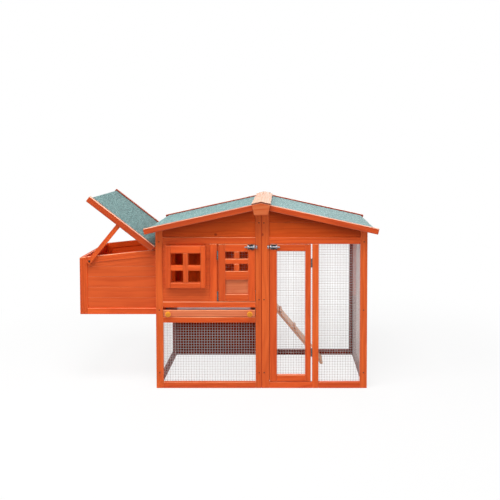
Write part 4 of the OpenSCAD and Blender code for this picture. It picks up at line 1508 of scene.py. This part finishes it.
@dataclass
class NestBox:
    """The nest box on the house's left side, with its propped lid."""

    # Faces that look into the nest get painted shade, and on the lid rails painted deep shade below the next
    # height.
    room: Triple = (-0.62, 0.0, 0.6)
    dark_z: float = 1.5
    board_w: float = 0.062
    felt_lap: float = 0.012

    def build(self) -> None:
        """Build the box, the lid and the prop."""
        for node in ("nest_posts", "nest_rails"):
            Joinery(FRAME_STAIN, room=self.room).dress(node)
        Joinery(BOARD_STAIN, BOARD_EASE, None, Axis.Z, self.board_w, room=self.room).dress("nest_boards")
        PLAIN_BOARD.dress("nest_floor")
        PLAIN_BOARD.dress("lid_deck")
        Joinery(BARGE_STAIN, TRIM_EASE, room=self.room, deep_shade_z=self.dark_z).dress("lid_rails")
        FRAME_JOINERY.dress("lid_prop")
        # The lid gets the darker copy of the felt, as painted shade.
        FeltCover("lid_felt", SHADED_LID_FELT, hangs=False, overhang=self.felt_lap).lay()
        for node in ("lid_hinge_wall", "lid_hinge_leaf"):
            Fitting().dress(node)
        Fitting(SCREW_STEEL).dress("prop_pin")


@dataclass(frozen=True)
class BarrelBolt:
    """A barrel bolt: a plate with two straps, a rod with a ball knob, and a strap that keeps it shut."""

    rod_node: str
    base_node: str
    plate_t: float = 0.0015
    plate_r: float = 0.004
    plate_h: float = 0.028
    plate_skin: float = 1.1
    rod_r: float = 0.004
    rod_ease: float = 0.001
    rod_steps: int = 20
    axis_out: float = 0.007
    strap_gap: float = 0.0003
    strap_t: float = 0.0012
    strap_w: float = 0.006
    foot: float = 0.0100
    ball_r: float = 0.0034
    ball_start: float = 0.2
    ball_steps: int = 16
    neck_r: float = 0.0022
    screw_r: float = 0.0021
    screw_h: float = 0.0007
    face_y: float = -0.300
    arc_steps: int = 10

    @cached_property
    def centre_z(self) -> float:
        """Height of the rod's axis."""
        low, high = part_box(self.rod_node)
        return (low.z + high.z) / 2

    @cached_property
    def plate_x(self) -> Pair:
        """Find the plate among the door's fittings.

        Returns:
            Its left and right end.
        """
        proud = self.face_y - self.plate_t / 2
        spots = [vert.co for vert in frame["nodes"][self.base_node].data.vertices]
        half = self.plate_h / 2
        ends = [spot.x for spot in spots if abs(spot.z - self.centre_z) <= half and spot.y < proud]
        return min(ends), max(ends)

    def dark_reflection(self, place: Vector) -> float:
        """How dark the metal is painted at a place, as a painted dark reflection: fully on the plate, less
        on the hinges, not on the straps.

        Args:
            place: A place on the door's fittings.

        Returns:
            The painted darkening, from 0 to 1.
        """
        if abs(place.z - self.centre_z) > self.plate_h:
            return HINGE_DARK_REFLECTION
        return float(self.face_y - self.plate_skin * self.plate_t < place.y < self.face_y + MERGE)

    def base(self) -> Solid:
        """Shape the plate and its two straps.

        Returns:
            All three.
        """
        left, right = self.plate_x
        foot, top = self.centre_z - self.plate_h / 2, self.centre_z + self.plate_h / 2
        outline = rounded_rectangle((left, foot), (right, top), self.plate_r)
        plate = prism([Vector((x, self.face_y, z)) for x, z in outline], FORWARD * self.plate_t)
        straps = [self.strap(x, self.strap_w, self.plate_t) for x in (left, right - self.strap_w)]
        return joined([plate, *straps])

    def strap(self, left: float, width: float, lift: float = 0.0) -> Solid:
        """A strap over the rod.

        Args:
            left: Left end of the strap.
            width: Its width along the rod.
            lift: Height of what it stands on.

        Returns:
            The strap, with a flat foot on each side.
        """
        inner = self.rod_r + self.strap_gap
        outer = inner + self.strap_t
        rise = self.axis_out - lift
        turns = [math.pi * step / self.arc_steps for step in range(self.arc_steps + 1)]
        outline = [(-self.foot, 0.0), (-self.foot, self.strap_t), (-outer, self.strap_t)]
        outline += [(-outer * math.cos(turn), rise + outer * math.sin(turn)) for turn in turns]
        outline += [(outer, self.strap_t), (self.foot, self.strap_t), (self.foot, 0.0), (inner, 0.0)]
        outline += [(inner * math.cos(turn), rise + inner * math.sin(turn)) for turn in turns]
        outline += [(-inner, 0.0)]
        base = self.face_y - lift
        points = [Vector((left, base - out, self.centre_z + up)) for up, out in outline]
        return prism(points, Vector((width, 0.0, 0.0)))

    def rod(self) -> Solid:
        """Turn the rod and its ball knob.

        Returns:
            Both.
        """
        low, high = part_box(self.rod_node)
        length = high.x - low.x
        thin = self.rod_r - self.rod_ease
        profile = [(0.0, 0.0), (thin, 0.0), (self.rod_r, self.rod_ease),
                   (self.rod_r, length - self.rod_ease), (thin, length), (0.0, length)]
        axis_y = self.face_y - self.axis_out
        rod = lathe(profile, Axis.X.vector, Vector((low.x, axis_y, self.centre_z)), self.rod_steps)
        spots = [vert.co for vert in frame["nodes"][self.rod_node].data.vertices]
        knob = [spot.x for spot in spots if spot.y < axis_y - self.rod_r]
        reach = axis_y - low.y
        centre = reach - self.ball_r
        shares = [step / self.arc_steps for step in range(self.arc_steps)]
        turns = [math.pi * (self.ball_start + (1 - self.ball_start) * share) for share in shares]
        ball = [(self.ball_r * math.sin(turn), centre - self.ball_r * math.cos(turn)) for turn in turns]
        stem = [(0.0, 0.0), (self.neck_r, 0.0), *ball, (0.0, reach)]
        foot = Vector(((min(knob) + max(knob)) / 2, axis_y, self.centre_z))
        return joined([rod, lathe(stem, FORWARD, foot, self.ball_steps)])

    def screws(self) -> list[VectorPair]:
        """Set out the plate's screws.

        Returns:
            Place and facing of each.
        """
        left, right = self.plate_x
        inset = 2 * self.plate_r + self.strap_w / 2
        rise = self.plate_h / 2 - self.plate_r
        return [(Vector((x, self.face_y - self.plate_t, self.centre_z + up)), FORWARD)
                for x in (left + inset, right - inset) for up in (-rise, rise)]

    def hinges(self) -> Solid:
        """Copy the hinges of the bolt's door, without the bolt that is in the same solid.

        Returns:
            The hinges.
        """
        copy = solid_copy(self.base_node)
        proud = self.face_y - self.axis_out
        bolts = [group for group in islands(copy) if min(vert.co.y for vert in group) < proud]
        bmesh.ops.delete(copy, geom=[vert for group in bolts for vert in group], context="VERTS")
        eased(copy, METAL_EASE)
        return copy

    def fit(self, screws: ScrewGrowth) -> None:
        """Fit the bolt to its door, with its plate's screws and its door's hinges.

        Args:
            screws: Tree that grows screws.
        """
        # The plate and the hinges get the painted dark reflection.
        base = with_dark_reflection(joined([self.hinges(), self.base()]), self.dark_reflection)
        body = body_of(self.base_node)
        settle(finished(f"{self.base_node}_metal", base, True), body, ZINC, self.base_node)
        rod = finished(f"{self.rod_node}_metal", self.rod(), True)
        settle(rod, body_of(self.rod_node), ZINC, self.rod_node)
        values = {"Radius": self.screw_r, "Height": self.screw_h, "Material": ZINC.material()}
        points = screw_points(f"{self.rod_node}_screw_points", self.screws())
        settle(screws.grow(f"{self.rod_node}_plate_screws", values, points), body, ZINC)


@dataclass
class HouseDoor:
    """The small door with four lights over a sunk panel."""

    side_w: float = 0.040
    foot_h: float = 0.040
    panel_h: float = 0.084
    waist_h: float = 0.049
    light_w: float = 0.049
    light_h: float = 0.041
    bar_h: float = 0.029
    lip_w: float = 0.0062
    lip_set: float = 0.009
    lip_ease: float = 0.0008
    hinge_l: float = 0.050
    upper_hinge_z: float = 0.739
    wire_r: float = 0.0003
    ease: float = 0.0022

    def build(self, wire: WireGrowth) -> None:
        """Build the door.

        Args:
            wire: Tree that grows welded wire.
        """
        leaf = planed("house_door_leaf_wood", self._leaf(), self.ease, None, "house_door_leaf")
        settle(leaf, body_of("house_door_leaf"), FRAME_STAIN, "house_door_leaf")
        Joinery(TRAY_STAIN, BOARD_EASE, Axis.X).dress("house_door_panel")
        MeshPanel("house_door_mesh", Side.FRONT, radius=self.wire_r).weave(wire)
        self._lipping()

    def _leaf(self) -> list[VectorPair]:
        """Set out the stiles, the rails between them and the bars between the lights.

        Returns:
            Lowest and highest corner of each.
        """
        low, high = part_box("house_door_leaf")
        left, right = low.x + self.side_w, high.x - self.side_w
        panel_z = low.z + self.foot_h
        waist_z = panel_z + self.panel_h
        light_z = waist_z + self.waist_h
        bar_z = light_z + self.light_h
        upper_z = bar_z + self.bar_h
        head_z = upper_z + self.light_h
        levels = ((low.z, panel_z), (waist_z, light_z), (bar_z, upper_z), (head_z, high.z))
        spans = [(low.x, left, low.z, high.z), (right, high.x, low.z, high.z)]
        spans += [(left, right, foot, top) for foot, top in levels]
        bars = ((light_z, bar_z), (upper_z, head_z))
        spans += [(left + self.light_w, right - self.light_w, foot, top) for foot, top in bars]
        return [(Vector((x0, low.y, z0)), Vector((x1, high.y, z1))) for x0, x1, z0, z1 in spans]

    def _lipping(self) -> None:
        """Fit strips on the hinge stile that close the gap beside the door, clear of its two hinges."""
        low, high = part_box("house_mid_stile")
        hinge_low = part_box("house_door_fittings")[0]
        spans = ((low.z, hinge_low.z), (hinge_low.z + self.hinge_l, self.upper_hinge_z),
                 (self.upper_hinge_z + self.hinge_l, high.z))
        boxes = [(Vector((high.x, low.y + self.lip_set, foot)), Vector((high.x + self.lip_w, high.y, top)))
                 for foot, top in spans]
        strips = planed("house_door_lipping", boxes, self.lip_ease, Axis.Z, "house_door_lipping")
        settle(strips, body_of("house_mid_stile"), FRAME_STAIN)


@dataclass
class RunDoor:
    """The tall wire door of the run, which shuts against a stop on its latch post."""

    ease: float = 0.0022
    post_w: float = 0.044
    stop_w: float = 0.018
    stop_t: float = 0.010
    stop_lap: float = 0.010

    def build(self, wire: WireGrowth) -> None:
        """Build the door.

        Args:
            wire: Tree that grows welded wire.
        """
        for node in ("run_door_stiles", "run_door_rails"):
            Joinery(FRAME_STAIN, self.ease).dress(node)
        MeshPanel("run_door_mesh", Side.FRONT).weave(wire)
        self._stop()

    def _stop(self) -> None:
        """Fit a stop on the inside of the latch post, which closes the gap beside the door."""
        post_low, post_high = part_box("run_front_posts")
        door_low, door_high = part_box("run_door_stiles")
        left = post_low.x + self.post_w + self.stop_lap - self.stop_w
        box = (Vector((left, post_high.y, door_low.z)),
               Vector((left + self.stop_w, post_high.y + self.stop_t, door_high.z)))
        stop = planed("run_door_stop", [box], self.ease, Axis.Z, "run_door_stop")
        settle(stop, body_of("run_front_posts"), FRAME_STAIN)


@dataclass
class DoorFittings:
    """Hinges, barrel bolts and the straps that keep the bolts shut."""

    keeper_w: float = 0.010
    bolts: tuple[BarrelBolt, ...] = (BarrelBolt("house_bolt", "house_door_fittings"),
                                     BarrelBolt("run_bolt", "run_door_fittings"))

    def build(self, screws: ScrewGrowth) -> None:
        """Build the fittings.

        Args:
            screws: Tree that grows screws.
        """
        # The hinges get a part of the painted dark reflection.
        Fitting(dark_reflection=HINGE_DARK_REFLECTION).dress("door_hinge_posts")
        for bolt in self.bolts:
            bolt.fit(screws)
        low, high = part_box("bolt_keepers")
        lefts = (low.x, high.x - self.keeper_w)
        straps = joined([bolt.strap(left, self.keeper_w) for bolt, left in zip(self.bolts, lefts)])
        eased(straps, METAL_EASE)
        settle(finished("bolt_keepers_metal", straps, True), body_of("bolt_keepers"), ZINC, "bolt_keepers")


@dataclass
class Tray:
    """The pull-out tray: a sheet metal pan, a wooden front and two knobs."""

    sheet: float = 0.0015
    roll: float = 0.0012
    corner_r: float = 0.006
    lift: float = 0.025
    lift_ends: Pair = (0.070, 0.020)
    lift_slope: float = 0.012
    front_ease: float = 0.002
    knob_steps: int = 32
    knob: Outline = ((0.0, 0.0), (0.0085, 0.0), (0.008, 0.004), (0.0095, 0.0085), (0.0145, 0.0125),
                     (0.016, 0.0165), (0.0152, 0.0205), (0.0115, 0.0232), (0.006, 0.0239), (0.0, 0.024))

    def build(self) -> None:
        """Build the tray."""
        Joinery(TRAY_STAIN, self.front_ease, Axis.X).dress("tray_front")
        self._pan()
        self._knobs()

    def _pan(self) -> bpy.types.Object:
        """Press a pan with a rolled rim, whose front stands up behind the wooden front.

        Returns:
            The pan.
        """
        low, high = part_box("tray_pan")
        inner = self.roll + self.sheet
        rings = []
        for inset, foot in ((0.0, low.z), (0.0, None), (self.roll, None), (inner, None),
                            (inner, low.z + self.sheet)):
            around = rounded_rectangle((low.x + inset, low.y + inset), (high.x - inset, high.y - inset),
                                       self.corner_r - inset)
            rings.append([Vector((x, y, self._rim(x, y, low, high) if foot is None else foot))
                          for x, y in self._with_lift(around, low, high)])
        pan = finished("tray_pan_metal", lofted(rings), True)
        return settle(pan, body_of("tray_pan"), TRAY_SHEET, "tray_pan")

    def _lift_x(self, low: Vector, high: Vector) -> Pair:
        """Both ends of the raised stretch of the pan's front."""
        return low.x + self.lift_ends[0], high.x - self.lift_ends[1]

    def _with_lift(self, points: Outline, low: Vector, high: Vector) -> list[Pair]:
        """Add points along the pan's front, where the rim rises and falls.

        Args:
            points: Points around the pan.
            low: Lowest corner of the pan.
            high: Highest corner of the pan.

        Returns:
            All the points around it.
        """
        left, right = self._lift_x(low, high)
        places = (left, left + self.lift_slope, right - self.lift_slope, right)
        third = 3 * len(points) // 4
        front = points[third][1]
        return [*points[:third], *((x, front) for x in places), *points[third:]]

    def _rim(self, x: float, y: float, low: Vector, high: Vector) -> float:
        """Find the height of the pan's rim at a place.

        Args:
            x: The place along the front.
            y: The place from front to back.
            low: Lowest corner of the pan.
            high: Highest corner of the pan, without the raised stretch.

        Returns:
            The height.
        """
        front = 1.0 - min(1.0, max(0.0, (y - low.y) / self.corner_r))
        left, right = self._lift_x(low, high)
        inside = min(1.0, max(0.0, min(x - left, right - x) / self.lift_slope))
        return high.z + self.lift * front * inside

    def _knobs(self) -> bpy.types.Object:
        """Turn knobs in the places of their solids.

        Returns:
            The knobs.
        """
        solid = solid_copy("tray_knobs")
        knobs = []
        for group in islands(solid):
            xs, ys, zs = ([vert.co[i] for vert in group] for i in range(3))
            foot = Vector(((min(xs) + max(xs)) / 2, max(ys), (min(zs) + max(zs)) / 2))
            knobs.append(lathe(self.knob, FORWARD, foot, self.knob_steps))
        solid.free()
        whole = joined(knobs)
        grained(whole, Axis.Y, random.Random("knobs"))
        piece = finished("tray_knobs_turned", whole, True)
        return settle(piece, body_of("tray_knobs"), KNOB_WOOD, "tray_knobs")


@dataclass
class Ramp:
    """The ramp inside the run, with its cleats and hinges."""

    board_ease: float = 0.002
    cleat_ease: float = 0.0015

    def build(self) -> None:
        """Build the ramp."""
        # The ramp's colour carries painted light.
        Joinery(LIGHT_PAINTED_RAMP, self.board_ease).dress("ramp_board")
        Joinery(LIGHT_PAINTED_RAMP, self.cleat_ease, Axis.Y).dress("ramp_cleats")
        for node in ("ramp_hinge_wall", "ramp_hinge_leaf"):
            Fitting().dress(node)


@dataclass
class Fasteners:
    """Screws in the frame's joints."""

    radius: float = 0.0036
    height: float = 0.0012

    def build(self, screws: ScrewGrowth) -> None:
        """Drive the screws.

        Args:
            screws: Tree that grows screws.
        """
        solid = solid_copy("frame_screws")
        spots = []
        for group in islands(solid):
            centre = middle(group)
            facing = Vector((0.0, math.copysign(1.0, centre.y), 0.0))
            outer = max(abs(vert.co.y) for vert in group)
            spots.append((Vector((centre.x, facing.y * (outer - self.height), centre.z)), facing))
        solid.free()
        points = screw_points("frame_screw_points", spots)
        values = {"Radius": self.radius, "Height": self.height, "Material": SCREW_STEEL.material()}
        piece = screws.grow("frame_screws_driven", values, points)
        settle(piece, body_of("frame_screws"), SCREW_STEEL, "frame_screws")


@dataclass(frozen=True)
class SoftLight:
    """A large soft studio light."""

    name: str
    place: Triple
    target: Triple
    size: float
    power: float

    def hang(self) -> None:
        """Hang the light."""
        lamp = bpy.data.lights.new(self.name, "AREA")
        lamp.shape = "DISK"
        lamp.size = self.size
        lamp.energy = self.power
        light = bpy.data.objects.new(self.name, lamp)
        bpy.context.scene.collection.objects.link(light)
        light.location = self.place
        light.rotation_euler = (Vector(self.target) - light.location).to_track_quat("-Z", "Y").to_euler()


@dataclass
class Studio:
    """Camera, lights, floor and white surroundings."""

    camera_place: Triple = (0.3076, -3.9, 1.397)
    camera_pitch: float = 2.5
    lens: float = 46.14
    shift: Pair = (-0.0642, -0.1576)
    ambient: float = 0.2
    floor_r: float = 9.0
    floor_sides: int = 64
    floor_middle: Triple = (0.19, 0.0, 0.0)
    floor_glow: Pair = (0.85, 1.0)
    floor_fade: Pair = (1.0, 2.6)
    floor_tint: Triple = (0.80, 0.80, 0.80)
    floor_roughness: float = 0.9
    lights: tuple[SoftLight, ...] = (
        SoftLight("key", (-0.1, -1.9, 4.4), (0.1, 0.0, 0.4), size=2.0, power=145.0),
        SoftLight("left_fill", (-2.8, -2.0, 3.5), (0.0, 0.0, 0.5), size=2.0, power=94.0),
        SoftLight("right_fill", (3.8, -2.6, 1.6), (0.2, 0.0, 0.4), size=2.0, power=42.0),
        SoftLight("back", (0.9, 4.6, 1.3), (0.2, 0.0, 0.4), size=3.0, power=120.0),
    )

    def build(self) -> None:
        """Set up the studio."""
        scene = bpy.context.scene
        scene.view_settings.view_transform = "Standard"
        lens = bpy.data.cameras.new("camera")
        lens.lens = self.lens
        lens.shift_x, lens.shift_y = self.shift
        camera = bpy.data.objects.new("camera", lens)
        camera.location = self.camera_place
        camera.rotation_euler = (math.radians(90.0 - self.camera_pitch), 0.0, 0.0)
        scene.collection.objects.link(camera)
        scene.camera = camera
        self._surround(scene)
        self._floor()
        for light in self.lights:
            light.hang()

    def _seen(self, maker: TreeMaker) -> Socket:
        """Tell the rays that come from the camera, a reflection or a clear surface.

        Args:
            maker: Maker of the material's nodes.

        Returns:
            One for such rays, else zero.
        """
        path = maker.add("ShaderNodeLightPath").outputs
        seen = maker.math("MAXIMUM", path["Is Camera Ray"], path["Is Glossy Ray"])
        return maker.math("MAXIMUM", seen, path["Is Transmission Ray"])

    def _surround(self, scene: bpy.types.Scene) -> None:
        """Give the scene white surroundings to look at, and an even light from all around.

        Args:
            scene: The scene.
        """
        world = bpy.data.worlds.new("surround")
        world.use_nodes = True
        scene.world = world
        maker = TreeMaker(world.node_tree)
        strength = maker.add("ShaderNodeMix", {0: self._seen(maker), 2: self.ambient, 3: 1.0}).outputs[0]
        background = world.node_tree.nodes["Background"]
        background.inputs["Color"].default_value = Shade.WHITE.linear
        world.node_tree.links.new(strength, background.inputs["Strength"])

    def _floor(self) -> None:
        """Lay a pale floor that keeps the shadow and fades into the white around it."""
        material = bpy.data.materials.new("floor")
        material.use_nodes = True
        maker = TreeMaker(material.node_tree)
        inputs = {0: maker.place(), 1: self.floor_middle}
        away = maker.add("ShaderNodeVectorMath", inputs, operation="DISTANCE").outputs["Value"]
        inputs = dict(enumerate((away, *self.floor_fade, *self.floor_glow)))
        spread = maker.add("ShaderNodeMapRange", inputs, interpolation_type="SMOOTHSTEP").outputs[0]
        fade = maker.math("MULTIPLY", spread, self._seen(maker))
        glow = maker.add("ShaderNodeEmission", {0: Shade.WHITE.linear, 1: 1.0}).outputs[0]
        shader = material.node_tree.nodes["Principled BSDF"]
        shader.inputs["Base Color"].default_value = (*self.floor_tint, 1.0)
        shader.inputs["Roughness"].default_value = self.floor_roughness
        shader.inputs["Specular IOR Level"].default_value = 0.0
        mix = maker.add("ShaderNodeMixShader", {0: fade, 1: shader.outputs[0], 2: glow}).outputs[0]
        maker.tree.links.new(mix, material.node_tree.nodes["Material Output"].inputs[0])
        disc = bmesh.new()
        bmesh.ops.create_circle(disc, cap_ends=True, segments=self.floor_sides, radius=self.floor_r)
        floor = finished("floor", disc)
        floor.data.materials.append(material)


def main() -> None:
    """Build the coop and the studio."""
    logging.basicConfig(level=logging.INFO, format="%(name)s %(message)s")
    wire = WireGrowth()
    screws = ScrewGrowth()
    HouseShell().build(wire)
    RunShell().build(wire)
    Roof().build()
    NestBox().build()
    HouseDoor().build(wire)
    RunDoor().build(wire)
    DoorFittings().build(screws)
    Tray().build()
    Ramp().build()
    Fasteners().build(screws)
    Studio().build()


if __name__ == "__main__":
    main()
